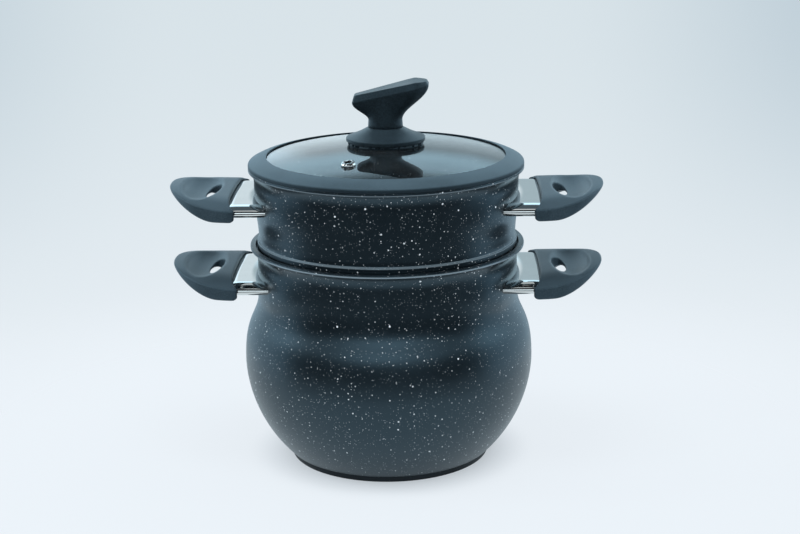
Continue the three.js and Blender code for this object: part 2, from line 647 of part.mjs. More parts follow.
// Knob: a round neck that opens into a tilted plate, with a blind hole for its screw.
function knobSolid() {
  const slope = Math.tan(THREE.MathUtils.degToRad(KNOB_TILT));
  const waist = KNOB_BOTTOM + NECK_LENGTH;
  const noseStart = KNOB_RIGHT - KNOB_NOSE;
  const underside = (along) => KNOB_BOTTOM + KNOB_HEIGHT + slope * along;
  const topside = (along) => underside(Math.min(along, noseStart)) + KNOB_PLATE;
  const lower = stepped(knobPlate(0));
  const upper = stepped(knobPlate(KNOB_BEVEL));
  const round = (radius, height) => lower.map((point) => {
    const turn = point.angle();
    return new THREE.Vector3(radius * Math.cos(turn), radius * Math.sin(turn), height);
  });
  const sweeps = lower.map((point) => {
    const spread = point.length();
    const end = underside(point.x);
    const sweep = new THREE.CubicBezierCurve(
      new THREE.Vector2(NECK_WAIST_RADIUS, waist),
      new THREE.Vector2(NECK_WAIST_RADIUS, waist + KNOB_NECK_BEND * (end - waist)),
      new THREE.Vector2(spread, waist + KNOB_PLATE_BEND * (end - waist)),
      new THREE.Vector2(spread, end));
    return sweep.getPoints(CURVE_STEPS).map((at) => {
      const scale = at.x / spread;
      return new THREE.Vector3(point.x * scale, point.y * scale, at.y);
    });
  });
  const funnel = sweeps[0].map((_, step) => sweeps.map((sweep) => sweep[step]));
  const top = upper.map((point) => new THREE.Vector3(point.x, point.y, topside(point.x)));
  const boreEnd = KNOB_BOTTOM + KNOB_SCREW_REACH + CLEARANCE;
  const bore = bar(KNOB_SCREW_RADIUS + CLEARANCE, KNOB_BOTTOM - OVERCUT, boreEnd);
  return solid(skin([round(NECK_FOOT_RADIUS, KNOB_BOTTOM), ...funnel, top])).subtract(solid(bore));
}

add(assembly, 'knob', bakelite, shapeOf(knobSolid()));

// Fastening under the glass
const washerTop = domeHeight(WASHER_RADIUS, GLASS_THICKNESS) - CLEARANCE;
const washerBottom = washerTop - WASHER_THICKNESS;
const headTop = washerBottom - CLEARANCE;
const headBottom = headTop - SCREW_HEAD_HEIGHT;
const screwEnd = KNOB_BOTTOM + KNOB_SCREW_REACH;
const washer = section([screwBore, washerBottom], [WASHER_RADIUS, washerBottom],
  [WASHER_RADIUS, washerTop], [screwBore, washerTop]);
add(assembly, 'knob_washer', steel, revolve(washer, SMALL_SIDES));
const knobScrew = section([0, headBottom], [SCREW_HEAD_RADIUS, headBottom], [SCREW_HEAD_RADIUS, headTop],
  [KNOB_SCREW_RADIUS, headTop], [KNOB_SCREW_RADIUS, screwEnd], [0, screwEnd]);
add(assembly, 'knob_screw', steel, revolve(knobScrew, SMALL_SIDES));

export default assembly;
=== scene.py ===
# %% [markdown]
# # A couscous steamer
# A bellied cast pot carries a perforated steamer in its mouth, and a domed glass lid closes the stack.
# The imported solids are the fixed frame: they give every place and size. This lesson makes the fine surface of each
# piece over them, in the same frame, and gives each one its finish.

# %% Load the frame
import math

import bpy
import numpy as np
from mathutils import Matrix, Vector


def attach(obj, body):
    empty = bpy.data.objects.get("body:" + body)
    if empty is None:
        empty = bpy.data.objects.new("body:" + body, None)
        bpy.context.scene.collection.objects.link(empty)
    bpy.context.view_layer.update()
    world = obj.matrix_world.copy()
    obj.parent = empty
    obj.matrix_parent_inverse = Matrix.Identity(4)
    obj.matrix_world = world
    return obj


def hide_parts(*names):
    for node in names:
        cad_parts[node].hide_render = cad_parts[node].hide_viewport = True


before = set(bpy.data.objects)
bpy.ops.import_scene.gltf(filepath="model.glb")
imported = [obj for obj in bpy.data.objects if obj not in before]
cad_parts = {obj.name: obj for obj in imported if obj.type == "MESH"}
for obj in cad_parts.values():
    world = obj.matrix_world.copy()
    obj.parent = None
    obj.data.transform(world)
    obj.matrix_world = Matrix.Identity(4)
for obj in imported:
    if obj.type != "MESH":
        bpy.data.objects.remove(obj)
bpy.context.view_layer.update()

MM = 0.001

# %% [markdown]
# ## Small helpers for node trees
# Shaders and geometry nodes are both trees of nodes, so the same short helpers can write them. A helper takes either
# a plain number or a socket: a number is set on the node, and a socket is linked to it.

# %% Node helpers
def fill(tree, socket, value):
    """Sets a socket to a value, or links it to another node's output."""
    if isinstance(value, bpy.types.NodeSocket):
        tree.links.new(value, socket)
    else:
        socket.default_value = value


def put(tree, kind, inputs=None, **settings):
    """Adds one node with its settings and inputs, which are named or numbered."""
    node = tree.nodes.new(kind)
    for name, value in settings.items():
        setattr(node, name, value)
    for name, value in (inputs or {}).items():
        fill(tree, node.inputs[name], value)
    return node


def maths(tree, operation, *values):
    """One step of arithmetic."""
    return put(tree, "ShaderNodeMath", dict(enumerate(values)), operation=operation).outputs[0]


def ramp(tree, value, low, high, start=0.0, end=1.0):
    """Maps a value smoothly from one range to another, held at both ends."""
    inputs = {"Value": value, "From Min": low, "From Max": high, "To Min": start, "To Max": end}
    return put(tree, "ShaderNodeMapRange", inputs, interpolation_type="SMOOTHSTEP").outputs[0]


def blend(tree, share, first, second):
    """Mixes two colours."""
    return put(tree, "ShaderNodeMix", {0: share, 6: first, 7: second}, data_type="RGBA").outputs[2]


def noise(tree, where, scale, detail=2.0):
    """A cloudy value about one half."""
    inputs = {"Vector": where, "Scale": scale, "Detail": detail}
    return put(tree, "ShaderNodeTexNoise", inputs).outputs[0]


def stretched(tree, where, scale):
    """Coordinates stretched along the axes, so that a pattern runs one way."""
    return put(tree, "ShaderNodeMapping", {"Vector": where, "Scale": scale}).outputs[0]


def bumped(tree, shader, height, strength, depth):
    """Raises a fine relief on a shader, with its depth in metres."""
    inputs = {"Strength": strength, "Distance": depth, "Height": height}
    fill(tree, shader.inputs["Normal"], put(tree, "ShaderNodeBump", inputs).outputs[0])


def new_finish(name, **constants):
    """A material with one shader, whose steady values are set on its own sockets."""
    material = bpy.data.materials.new(name)
    material.use_nodes = True
    tree = material.node_tree
    tree.nodes.clear()
    shader = put(tree, "ShaderNodeBsdfPrincipled", {key.replace("_", " "): v for key, v in constants.items()})
    put(tree, "ShaderNodeOutputMaterial", {"Surface": shader.outputs[0]})
    where = put(tree, "ShaderNodeTexCoord").outputs["Object"]
    return material, tree, shader, where

# %% [markdown]
# ## The granite coat
# The cast walls are sprayed with a near-black non-stick coat full of pale flecks: a few as big as a grain of salt,
# many smaller, and a faint dust between them. Cell noise gives every fleck its own random number. That number decides
# whether the cell holds a fleck, how big it is and how bright, so three sizes of cell make the whole mixture. At the
# lips and at the shoulder of the steamer's foot, a thin pale line is painted in: a painted highlight on the edge.

# %% Flecks
def flecks(tree, where, cells, chance, radius, faint):
    """How much of a pale fleck there is at each point: cells per metre, share of empty cells, radius in metres."""
    cell = put(tree, "ShaderNodeTexVoronoi", {"Vector": where, "Scale": cells})
    luck = put(tree, "ShaderNodeSeparateColor", {0: cell.outputs["Color"]})
    grown = ramp(tree, luck.outputs[0], chance, 1.0, 0.0, radius * cells)
    inside = maths(tree, "SUBTRACT", grown, cell.outputs["Distance"])
    edge = ramp(tree, inside, 0.0, 0.2 * radius * cells)
    return maths(tree, "MULTIPLY", edge, ramp(tree, luck.outputs[1], 0.0, 1.0, faint, 1.0))


# %% Painted highlight lines
# Heights and reaches of the painted highlight lines, in metres.
POT_LIP_EDGE, STEAMER_LIP_EDGE, SHOULDER_EDGE = (0.2013, 0.2027), (0.2736, 0.2746), (0.2082, 0.2093)
LIP_REACH, SHOULDER_REACH = (0.126, 0.13), (0.1, 0.1208)
EDGE_FADE, SHOULDER_FADE, REACH_FADE = 0.0003, 0.0008, 0.0002
FAINT_EDGE = 0.6


def between(tree, value, low, high, fade):
    """One inside a range, none outside it."""
    return maths(tree, "MULTIPLY", ramp(tree, value, low - fade, low), ramp(tree, value, high, high + fade, 1.0, 0.0))


def painted_highlight_lines(tree, where):
    """Painted highlight lines in the coat, by height and distance from the axis in metres."""
    up = put(tree, "ShaderNodeSeparateXYZ", {0: where}).outputs[2]
    flat = put(tree, "ShaderNodeVectorMath", {0: where, 1: (1, 1, 0)}, operation="MULTIPLY").outputs[0]
    out = put(tree, "ShaderNodeVectorMath", {0: flat}, operation="LENGTH").outputs["Value"]
    pot_lip = between(tree, up, *POT_LIP_EDGE, EDGE_FADE)
    steamer_lip = maths(tree, "MULTIPLY", between(tree, up, *STEAMER_LIP_EDGE, EDGE_FADE), FAINT_EDGE)
    lips = maths(tree, "MULTIPLY", maths(tree, "ADD", pot_lip, steamer_lip), between(tree, out, *LIP_REACH, REACH_FADE))
    shoulder = maths(tree, "MULTIPLY", between(tree, up, *SHOULDER_EDGE, SHOULDER_FADE),
                     between(tree, out, *SHOULDER_REACH, REACH_FADE))
    return maths(tree, "ADD", lips, maths(tree, "MULTIPLY", shoulder, FAINT_EDGE))


# %% Granite coat
BLUE_SHINE = (0.55, 0.82, 1, 1)
GROUND_DARK, GROUND_LIGHT = (0.0025, 0.0038, 0.0052, 1), (0.0044, 0.0066, 0.0086, 1)
# The second pale colour is a painted highlight, for the thin lines at the lips and the steamer's shoulder.
FLECK_PALE, HIGHLIGHT_PALE = (0.94, 0.97, 0.99, 1), (0.22, 0.27, 0.3, 1)
WANDER = 0.0009


def granite_coat():
    """Flecks of three sizes, with ragged edges, on a clouded near-black ground."""
    material, tree, shader, where = new_finish("granite coat", Specular_IOR_Level=0.75, Specular_Tint=BLUE_SHINE)
    wander = put(tree, "ShaderNodeTexNoise", {"Vector": where, "Scale": 700.0, "Detail": 1.0}).outputs[1]
    ragged = put(tree, "ShaderNodeVectorMath", {0: wander, 1: (WANDER, WANDER, WANDER), 2: where},
                 operation="MULTIPLY_ADD").outputs[0]
    salt = flecks(tree, ragged, cells=150.0, chance=0.5, radius=0.00098, faint=0.7)
    grain = flecks(tree, ragged, cells=330.0, chance=0.34, radius=0.0006, faint=0.5)
    dust = flecks(tree, ragged, cells=760.0, chance=0.3, radius=0.00034, faint=0.06)
    mask = maths(tree, "MAXIMUM", salt, maths(tree, "MAXIMUM", grain, maths(tree, "MULTIPLY", dust, 0.6)))
    cloud = noise(tree, where, 26.0, 3.0)
    ground = blend(tree, cloud, GROUND_DARK, GROUND_LIGHT)
    speckled = blend(tree, mask, ground, FLECK_PALE)
    # Painted highlights: thin pale lines at the lips and at the shoulder of the steamer's foot.
    fill(tree, shader.inputs["Base Color"], blend(tree, painted_highlight_lines(tree, where), speckled, HIGHLIGHT_PALE))
    fill(tree, shader.inputs["Roughness"], ramp(tree, maths(tree, "ADD", cloud, mask), 0.3, 1.6, 0.33, 0.5))
    relief = maths(tree, "ADD", noise(tree, where, 1300.0), maths(tree, "MULTIPLY", mask, 0.5))
    bumped(tree, shader, relief, 0.35, 0.00004)
    return material


COAT = granite_coat()
print("finish:", COAT.name, len(COAT.node_tree.nodes), "nodes")

# %% [markdown]
# ## Moulded grip plastic and soft silicone
# The grips and the knob are moulded in charcoal heat-proof plastic with a fine spark-eroded grain, which scatters the
# light softly, and the knob is the darker of the two. The lid's rim is silicone: even duller. What faces up is painted
# paler, as painted top light with a little dust on it, so the direction of the face decides how much of it there is.
# The rest is plain noise at two scales, one for the shade and one for the grain.

# %% Grip plastic and silicone
def moulded(name, dark, light, dust, grain, gloss, depth, sheen, shine):
    """Two shades in clouds and grain, and painted top light with a little dust, paler on what faces up."""
    material, tree, shader, where = new_finish(name, Specular_IOR_Level=shine, Specular_Tint=BLUE_SHINE,
                                               Sheen_Weight=sheen, Sheen_Roughness=0.35, Sheen_Tint=(0.6, 0.85, 1, 1))
    cloud = noise(tree, where, 38.0, 4.0)
    texture = noise(tree, where, grain, 3.0)
    shade = maths(tree, "ADD", maths(tree, "MULTIPLY", cloud, 0.35), maths(tree, "MULTIPLY", texture, 0.65))
    facing = put(tree, "ShaderNodeNewGeometry").outputs["Normal"]
    level = put(tree, "ShaderNodeSeparateXYZ", {0: facing}).outputs[2]
    # Painted top light with a little dust: faces that look up are painted paler.
    top_light_and_dust = maths(tree, "MULTIPLY", ramp(tree, level, 0.2, 0.95), ramp(tree, shade, 0.35, 0.65, 0.55, 1.0))
    plain = blend(tree, ramp(tree, shade, 0.35, 0.65), (*dark, 1), (*light, 1))
    fill(tree, shader.inputs["Base Color"], blend(tree, top_light_and_dust, plain, (*dust, 1)))
    fill(tree, shader.inputs["Roughness"], ramp(tree, shade, 0.3, 0.7, gloss, gloss + 0.12))
    bumped(tree, shader, texture, 0.5, depth)
    return material


# The dust colours are painted top light with a little dust, for faces that look up.
BAKELITE = moulded("charcoal grip plastic", dark=(0.024, 0.038, 0.048), light=(0.042, 0.063, 0.078),
                   dust=(0.05, 0.077, 0.096), grain=900.0, gloss=0.4, depth=0.00012, sheen=0.1, shine=0.36)
KNOB_BLACK = moulded("dark knob plastic", dark=(0.008, 0.012, 0.015), light=(0.016, 0.025, 0.031),
                     dust=(0.022, 0.035, 0.044), grain=650.0, gloss=0.36, depth=0.00008, sheen=0.05, shine=0.33)
SILICONE = moulded("grey silicone", dark=(0.008, 0.013, 0.017), light=(0.014, 0.022, 0.028),
                   dust=(0.066, 0.102, 0.125), grain=1600.0, gloss=0.5, depth=0.00003, sheen=0.2, shine=0.45)
print("finishes:", BAKELITE.name, KNOB_BLACK.name, SILICONE.name)

# %% [markdown]
# ## Polished sheet, plain screws and the base
# The flame guards are mirror-polished sheet with faint polishing lines across them. Screws and washers are duller.
# The base disc is dark and was faced on a lathe, so rings round its centre are the right relief for it.

# %% Metals
def polished_sheet():
    """A mirror finish with faint lines."""
    material, tree, shader, where = new_finish("polished steel sheet", Metallic=1.0)
    lines = noise(tree, stretched(tree, where, (2600.0, 40.0, 2600.0)), 1.0, 2.0)
    cloud = noise(tree, where, 45.0, 2.0)
    fill(tree, shader.inputs["Base Color"], blend(tree, cloud, (0.61, 0.6, 0.585, 1), (0.69, 0.675, 0.655, 1)))
    fill(tree, shader.inputs["Roughness"], ramp(tree, lines, 0.3, 0.7, 0.04, 0.08))
    bumped(tree, shader, lines, 0.15, 0.000004)
    return material


def plain_steel():
    """The duller steel of screws, washers and tongues."""
    material, tree, shader, where = new_finish("plain steel", Metallic=1.0)
    cloud = noise(tree, where, 700.0, 4.0)
    fill(tree, shader.inputs["Base Color"], blend(tree, cloud, (0.42, 0.44, 0.45, 1), (0.6, 0.62, 0.63, 1)))
    fill(tree, shader.inputs["Roughness"], ramp(tree, cloud, 0.3, 0.7, 0.25, 0.42))
    bumped(tree, shader, cloud, 0.3, 0.00002)
    return material


def faced_base():
    """Dark metal with the fine rings of a facing cut."""
    material, tree, shader, where = new_finish("dark faced base", Specular_IOR_Level=0.2)
    rings = put(tree, "ShaderNodeTexWave", {"Vector": where, "Scale": 260.0, "Distortion": 0.4, "Detail": 2.0},
                wave_type="RINGS", rings_direction="Z").outputs[1]
    cloud = noise(tree, where, 60.0, 3.0)
    fill(tree, shader.inputs["Base Color"], blend(tree, cloud, (0.005, 0.008, 0.011, 1), (0.011, 0.017, 0.022, 1)))
    fill(tree, shader.inputs["Roughness"], ramp(tree, rings, 0.0, 1.0, 0.38, 0.52))
    bumped(tree, shader, rings, 0.3, 0.00005)
    return material


SHEET = polished_sheet()
STEEL = plain_steel()
BASE = faced_base()
print("finishes:", SHEET.name, STEEL.name, BASE.name)

# %% [markdown]
# ## Tempered glass
# The dome is clear glass with a trace of blue-grey. A real lid is never quite clean, so a thin uneven bloom of dust
# takes a little of the light: it lowers the transmission in soft patches and dots.

# %% Glass
def tempered_glass():
    """Clear glass under a thin, uneven film of dust."""
    material, tree, shader, where = new_finish("tempered glass", IOR=1.52, Specular_Tint=(0.85, 0.96, 1, 1))
    bloom = noise(tree, where, 22.0, 3.0)
    dots = flecks(tree, where, 120.0, 0.7, 0.0012, 0.2)
    film = maths(tree, "ADD", ramp(tree, bloom, 0.35, 0.75, 0.004, 0.02), maths(tree, "MULTIPLY", dots, 0.08))
    fill(tree, shader.inputs["Base Color"], blend(tree, bloom, (0.72, 0.8, 0.84, 1), (0.8, 0.87, 0.9, 1)))
    fill(tree, shader.inputs["Transmission Weight"], maths(tree, "SUBTRACT", 1.0, film))
    fill(tree, shader.inputs["Roughness"], ramp(tree, bloom, 0.3, 0.8, 0.012, 0.05))
    return material


GLASS = tempered_glass()
print("finish:", GLASS.name)

# %% [markdown]
# ## Profiles
# Nearly everything here was turned or cast round, so most pieces start as an outline of radius and height in
# millimetres. Corners are never perfectly sharp: a short curve at each one catches the light as a real edge does.

# %% Profile helpers
SUPPORT = 0.25


def curve(corners, steps):
    """Points along a Bezier curve of any degree, from its control points."""
    at = np.linspace(0, 1, steps + 1)[:, None]
    degree = len(corners) - 1
    terms = [math.comb(degree, k) * (1 - at) ** (degree - k) * at ** k * np.array(c, float)
             for k, c in enumerate(corners)]
    return sum(terms)


def eased(*corners, steps=5, closed=True):
    """An outline whose corners, given as radius, height and size of rounding, are eased with short curves."""
    spots = [np.array(c[:2], float) for c in corners]
    sizes = [c[2] if len(c) > 2 else 0.0 for c in corners]
    points = []
    for i, (spot, size) in enumerate(zip(spots, sizes)):
        if size == 0:
            points.append(spot[None])
            continue
        back = spots[i - 1] - spot
        ahead = spots[(i + 1) % len(spots)] - spot
        back, ahead = back / np.linalg.norm(back), ahead / np.linalg.norm(ahead)
        points.append((spot + back * (size + SUPPORT))[None])
        points.append(curve([spot + back * size, spot, spot + ahead * size], steps))
        points.append((spot + ahead * (size + SUPPORT))[None])
    if closed:
        points.append(points[0][:1])
    return np.concatenate(points)


# %% Piece helpers
def link(piece):
    """Puts an object into the scene."""
    bpy.context.scene.collection.objects.link(piece)
    return piece


def mesh_piece(name, points, faces, material):
    """A smooth mesh object from points in millimetres."""
    mesh = bpy.data.meshes.new(name)
    mesh.from_pydata((np.asarray(points) * MM).tolist(), [], [tuple(int(i) for i in f) for f in faces])
    mesh.materials.append(material)
    mesh.shade_smooth()
    return link(bpy.data.objects.new(name, mesh))


def settle(piece):
    """Turns a piece with modifiers into a plain mesh."""
    ready = piece.evaluated_get(bpy.context.evaluated_depsgraph_get())
    mesh = bpy.data.meshes.new_from_object(ready)
    piece.modifiers.clear()
    piece.data = mesh
    return piece


def dress(piece, body, slot, *nodes):
    """Puts a finished piece on its body, in the place of the solids that it stands for."""
    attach(piece, body)
    if nodes:
        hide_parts(*nodes)
    piece.data.calc_loop_triangles()
    print(piece.name, len(piece.data.loop_triangles), "triangles")
    return piece

# %% [markdown]
# ## A lathe made of nodes
# A turned piece is an outline carried round an axis. A small geometry-nodes tree can do that for any outline: it makes
# a flat grid, reads the outline's points by row, and bends the grid round. The outline and the number of sides are its
# inputs, so one tree serves every turned piece. Three helpers come first: one starts a tree with named inputs, one ends
# it by making copies real and setting the finish, and one runs it on a piece.

# %% Tree helpers
def new_tree(name, **sockets):
    """A geometry-nodes tree whose inputs are named with the kind of each, and the sockets that give them."""
    tree = bpy.data.node_groups.new(name, "GeometryNodeTree")
    for key, kind in sockets.items():
        tree.interface.new_socket(key.replace("_", " "), in_out="INPUT", socket_type="NodeSocket" + kind)
    tree.interface.new_socket("Piece", in_out="OUTPUT", socket_type="NodeSocketGeometry")
    return tree, put(tree, "NodeGroupInput").outputs


def end_tree(tree, made, finish):
    """Makes copies real and sets the finish."""
    real = put(tree, "GeometryNodeRealizeInstances", {0: made}).outputs[0]
    done = put(tree, "GeometryNodeSetMaterial", {"Geometry": real, "Material": finish}).outputs[0]
    put(tree, "NodeGroupOutput", {0: done})
    return tree


def with_tree(piece, tree, **inputs):
    """Runs a tree on a piece with its named inputs set, and leaves a plain mesh."""
    modifier = piece.modifiers.new(tree.name, "NODES")
    modifier.node_group = tree
    for item in tree.interface.items_tree:
        key = item.name.replace(" ", "_").lower()
        if item.in_out == "INPUT" and key in inputs:
            modifier[item.identifier] = inputs[key]
    return settle(piece)


# %% Lathe tree
def lathe_tree():
    """Carries an outline round the upright axis."""
    tree, given = new_tree("lathe", Outline="Geometry", Sides="Int", Finish="Material")
    rows = put(tree, "GeometryNodeAttributeDomainSize", {0: given["Outline"]}).outputs["Point Count"]
    columns = maths(tree, "ADD", given["Sides"], 1.0)
    grid = put(tree, "GeometryNodeMeshGrid", {"Vertices X": columns, "Vertices Y": rows}).outputs["Mesh"]
    index = put(tree, "GeometryNodeInputIndex").outputs[0]
    column = maths(tree, "FLOOR", maths(tree, "DIVIDE", index, rows))
    row = maths(tree, "SUBTRACT", index, maths(tree, "MULTIPLY", column, rows))
    turn = maths(tree, "MULTIPLY", maths(tree, "DIVIDE", column, given["Sides"]), 2 * math.pi)
    place = put(tree, "GeometryNodeInputPosition").outputs[0]
    sample = put(tree, "GeometryNodeSampleIndex", {"Geometry": given["Outline"], "Value": place, "Index": row},
                 data_type="FLOAT_VECTOR").outputs[0]
    spot = put(tree, "ShaderNodeSeparateXYZ", {0: sample}).outputs
    across = maths(tree, "MULTIPLY", spot[0], maths(tree, "COSINE", turn))
    along = maths(tree, "MULTIPLY", spot[0], maths(tree, "SINE", turn))
    bent = put(tree, "ShaderNodeCombineXYZ", {0: across, 1: along, 2: spot[2]}).outputs[0]
    round_grid = put(tree, "GeometryNodeSetPosition", {"Geometry": grid, "Position": bent}).outputs[0]
    joined = put(tree, "GeometryNodeMergeByDistance", {"Geometry": round_grid, "Distance": 1e-6}).outputs[0]
    smooth = put(tree, "GeometryNodeSetShadeSmooth", {"Geometry": joined}).outputs[0]
    return end_tree(tree, smooth, given["Finish"])


LATHE = lathe_tree()


def turned(name, outline, material, sides=144):
    """A turned piece from an outline of radius and height in millimetres."""
    outline = np.asarray(outline)
    points = np.stack([outline[:, 0], np.zeros(len(outline)), outline[:, 1]], 1) * MM
    mesh = bpy.data.meshes.new(name)
    mesh.from_pydata(points.tolist(), [(i, i + 1) for i in range(len(points) - 1)], [])
    piece = link(bpy.data.objects.new(name, mesh))
    return with_tree(piece, LATHE, sides=sides, finish=material)


# %% Base disc
BASE_RADIUS, BASE_THICKNESS, FIT = 93.3, 5.0, 0.3
base_outline = eased((0, 0), (BASE_RADIUS, 0, 0.8), (BASE_RADIUS, BASE_THICKNESS, 0.4), (0, BASE_THICKNESS),
                     closed=False)
dress(turned("base_disc", base_outline, BASE, 180), "pot", "base_metal", "base_plate")

# %% [markdown]
# ## Cast walls with a pad behind each handle
# The pot and the steamer are castings. Each is round, but a soft pad swells out of the wall where a handle sits. A
# lathe can't make the pads, so the walls are a grid of points round the axis. A point that lies behind a handle is
# pushed out, a little in the middle of the pad and more at its ends, because the pad is flatter than the wall. The
# push fades over some millimetres, which makes the fillet of the casting.

# %% Handle places and pads
GUARD_WIDTH, GUARD_HEIGHT, GUARD_LIFT, GUARD_REACH = 126.0, 11.8, 0.6, 23.0
PAD_MIDDLE, PAD_ENDS, PAD_FADE, PAD_TAIL = 0.5, 2.5, 21.0, 40.0
POT_WALL, POT_HANDLE = 120.3, 171.3
STEAMER_WALL, STEAMER_HANDLE = 120.606, 243.6


def pad_stand(across):
    """How far the pad stands out of the round wall: it is flatter than the wall, so most at its ends."""
    return PAD_MIDDLE + PAD_ENDS * np.minimum(np.abs(across) / (GUARD_WIDTH / 2), 1) ** 2


def pad_share(across, up):
    """How much of the pad is left at a place near the handle: all of it behind the guard, fading out around it."""
    beyond = np.maximum(np.abs(across) - (GUARD_WIDTH - GUARD_HEIGHT) / 2, 0)
    outside = np.hypot(beyond * PAD_FADE / PAD_TAIL, up) - GUARD_HEIGHT / 2
    share = np.clip(1 - outside / PAD_FADE, 0, 1)
    return share ** 3 * (share * (share * 6 - 15) + 10)


print("pad stands out", pad_stand(0.0), "to", pad_stand(GUARD_WIDTH / 2), "mm")


# %% Wall grid
COARSE_STEP, FINE_STEP, PAD_FROM, PAD_TO = 2, 0.8, 18, 50


def wall_angles():
    """Angles round the wall, in steps of some degrees that are finer where the pads end."""
    spans = ((0, PAD_FROM, COARSE_STEP), (PAD_FROM, PAD_TO, FINE_STEP), (PAD_TO, 180 - PAD_TO, COARSE_STEP),
             (180 - PAD_TO, 180 - PAD_FROM, FINE_STEP), (180 - PAD_FROM, 180, COARSE_STEP))
    half = np.concatenate([np.arange(start, end - 1e-6, step) for start, end, step in spans])
    return np.radians(np.concatenate([half, half + 180]))


def cast_wall(name, outside, inside, wall, handle, material):
    """A round casting from its outside and inside outlines, with two pads pushed out of the outside."""
    outline = np.concatenate([outside, inside])
    angles = wall_angles()
    radius = np.repeat(outline[None, :, 0], len(angles), 0)
    height = np.repeat(outline[None, :, 1], len(angles), 0)
    turn = angles[:, None]
    near = np.arange(len(outline))[None] < len(outside)
    across = wall * np.sin(turn)
    radius = radius + pad_stand(across) * pad_share(across, height - handle - GUARD_LIFT) * near
    points = np.stack([radius * np.cos(turn), radius * np.sin(turn), height], 2)
    rows, columns = len(outline), len(angles)
    a = np.arange(columns)[:, None] * rows + np.arange(rows - 1)[None]
    b = (np.arange(columns)[:, None] + 1) % columns * rows + np.arange(rows - 1)[None]
    faces = np.stack([a, b, b + 1, a + 1], 2).reshape(-1, 4)
    piece = mesh_piece(name, points.reshape(-1, 3), faces, material)
    weld = piece.modifiers.new("weld", "WELD")
    weld.merge_threshold = 1e-6
    return settle(piece)


# %% Rims
LIP_RADIUS, LIP_HEIGHT, LIP_STEP, MOUTH_RADIUS, FLARE_HEIGHT = 127.0, 2.6, 1.2, 122.0, 16.0


def rim(wall, top):
    """Flare and lip of a rim, from the wall up and over to the mouth."""
    under, flared = top - LIP_HEIGHT, LIP_RADIUS - LIP_STEP
    flare = curve([(wall, top - FLARE_HEIGHT), (wall, top - 6.5), (flared, under)], 14)
    lip = eased((flared, under, 0.15), (LIP_RADIUS, under, 0.35), (LIP_RADIUS, top, 0.8), (MOUTH_RADIUS, top, 0.5),
                (MOUTH_RADIUS, top - 4), closed=False)
    return np.concatenate([flare[:-1], lip[2:]])


# %% Pot
BELLY_RADIUS, BELLY_HEIGHT, NECK_HEIGHT, POT_TOP = 134.8, 94.0, 166.0, 204.0
POT_SKIN, POT_FLOOR, STEP_DEPTH = 3.5, 6.0, 5.5
under = BASE_THICKNESS + FIT
pot_floor = under + POT_FLOOR
step = POT_TOP - STEP_DEPTH
neck_inside, belly_inside = POT_WALL - POT_SKIN, BELLY_RADIUS - POT_SKIN
pot_outside = np.concatenate([
    [(0, under), (60, under), (BASE_RADIUS, under)],
    curve([(93.6, under), (95.2, under), (96.2, 6.5)], 4),
    curve([(95, under), (132.0, 40.8), (BELLY_RADIUS, 83.36), (BELLY_RADIUS, BELLY_HEIGHT)], 34)[1:],
    curve([(BELLY_RADIUS, BELLY_HEIGHT), (BELLY_RADIUS, 140.2), (POT_WALL, 131.2), (POT_WALL, NECK_HEIGHT)], 52)[1:],
    np.stack([np.full(15, POT_WALL), np.linspace(NECK_HEIGHT + 1.5, POT_TOP - 17, 15)], 1),
    rim(POT_WALL, POT_TOP)])
pot_inside = np.concatenate([
    eased((MOUTH_RADIUS, POT_TOP - 4), (MOUTH_RADIUS, step, 0.3), (neck_inside, step, 0.5), (neck_inside, NECK_HEIGHT),
          closed=False)[1:],
    curve([(neck_inside, NECK_HEIGHT), (neck_inside, 134.32), (belly_inside, 142.24), (belly_inside, BELLY_HEIGHT)],
          18)[1:],
    curve([(belly_inside, BELLY_HEIGHT), (belly_inside, 84.08), (128.76, 44.38), (97.5, 13.7)], 18)[1:],
    curve([(96.6, 12.8), (95, pot_floor), (91, pot_floor)], 5),
    [(60, pot_floor), (0, pot_floor)]])
pot = cast_wall("pot_casting", pot_outside, pot_inside, POT_WALL, POT_HANDLE, COAT)
dress(pot, "pot", "granite_coat", "pot_body")

# %% Steamer wall
STEAMER_UNDER, STEAMER_TOP, STEAMER_SKIN = 189.8, 276.3, 3.0
SIEVE_RADIUS, SPIGOT_RADIUS, FOOT_RADIUS = 100.0, 116.0, 120.4
FOOT_BOTTOM, FOOT_TOP, WALL_START = 198.8, 208.8, 213.0
WALL_LOW, WALL_HIGH = 118.8, 121.6
wall_end = STEAMER_TOP - FLARE_HEIGHT
steamer_floor, spigot_inside = STEAMER_UNDER + STEAMER_SKIN, SPIGOT_RADIUS - STEAMER_SKIN
steamer_outside = np.concatenate([
    [(SIEVE_RADIUS, STEAMER_UNDER), (105, STEAMER_UNDER)],
    curve([(110, STEAMER_UNDER), (SPIGOT_RADIUS, STEAMER_UNDER), (SPIGOT_RADIUS, STEAMER_UNDER + 6)], 6),
    eased((SPIGOT_RADIUS, 196), (SPIGOT_RADIUS, FOOT_BOTTOM, 0.3), (FOOT_RADIUS, FOOT_BOTTOM, 0.6),
          (FOOT_RADIUS, FOOT_TOP, 0.8), (119.4, 209), closed=False)[1:-1],
    curve([(119.4, 209), (WALL_LOW, 209.2), (WALL_LOW, WALL_START)], 6),
    curve([(WALL_LOW, WALL_START), (WALL_HIGH, wall_end)], 38)[1:],
    rim(WALL_HIGH, STEAMER_TOP)[1:]])
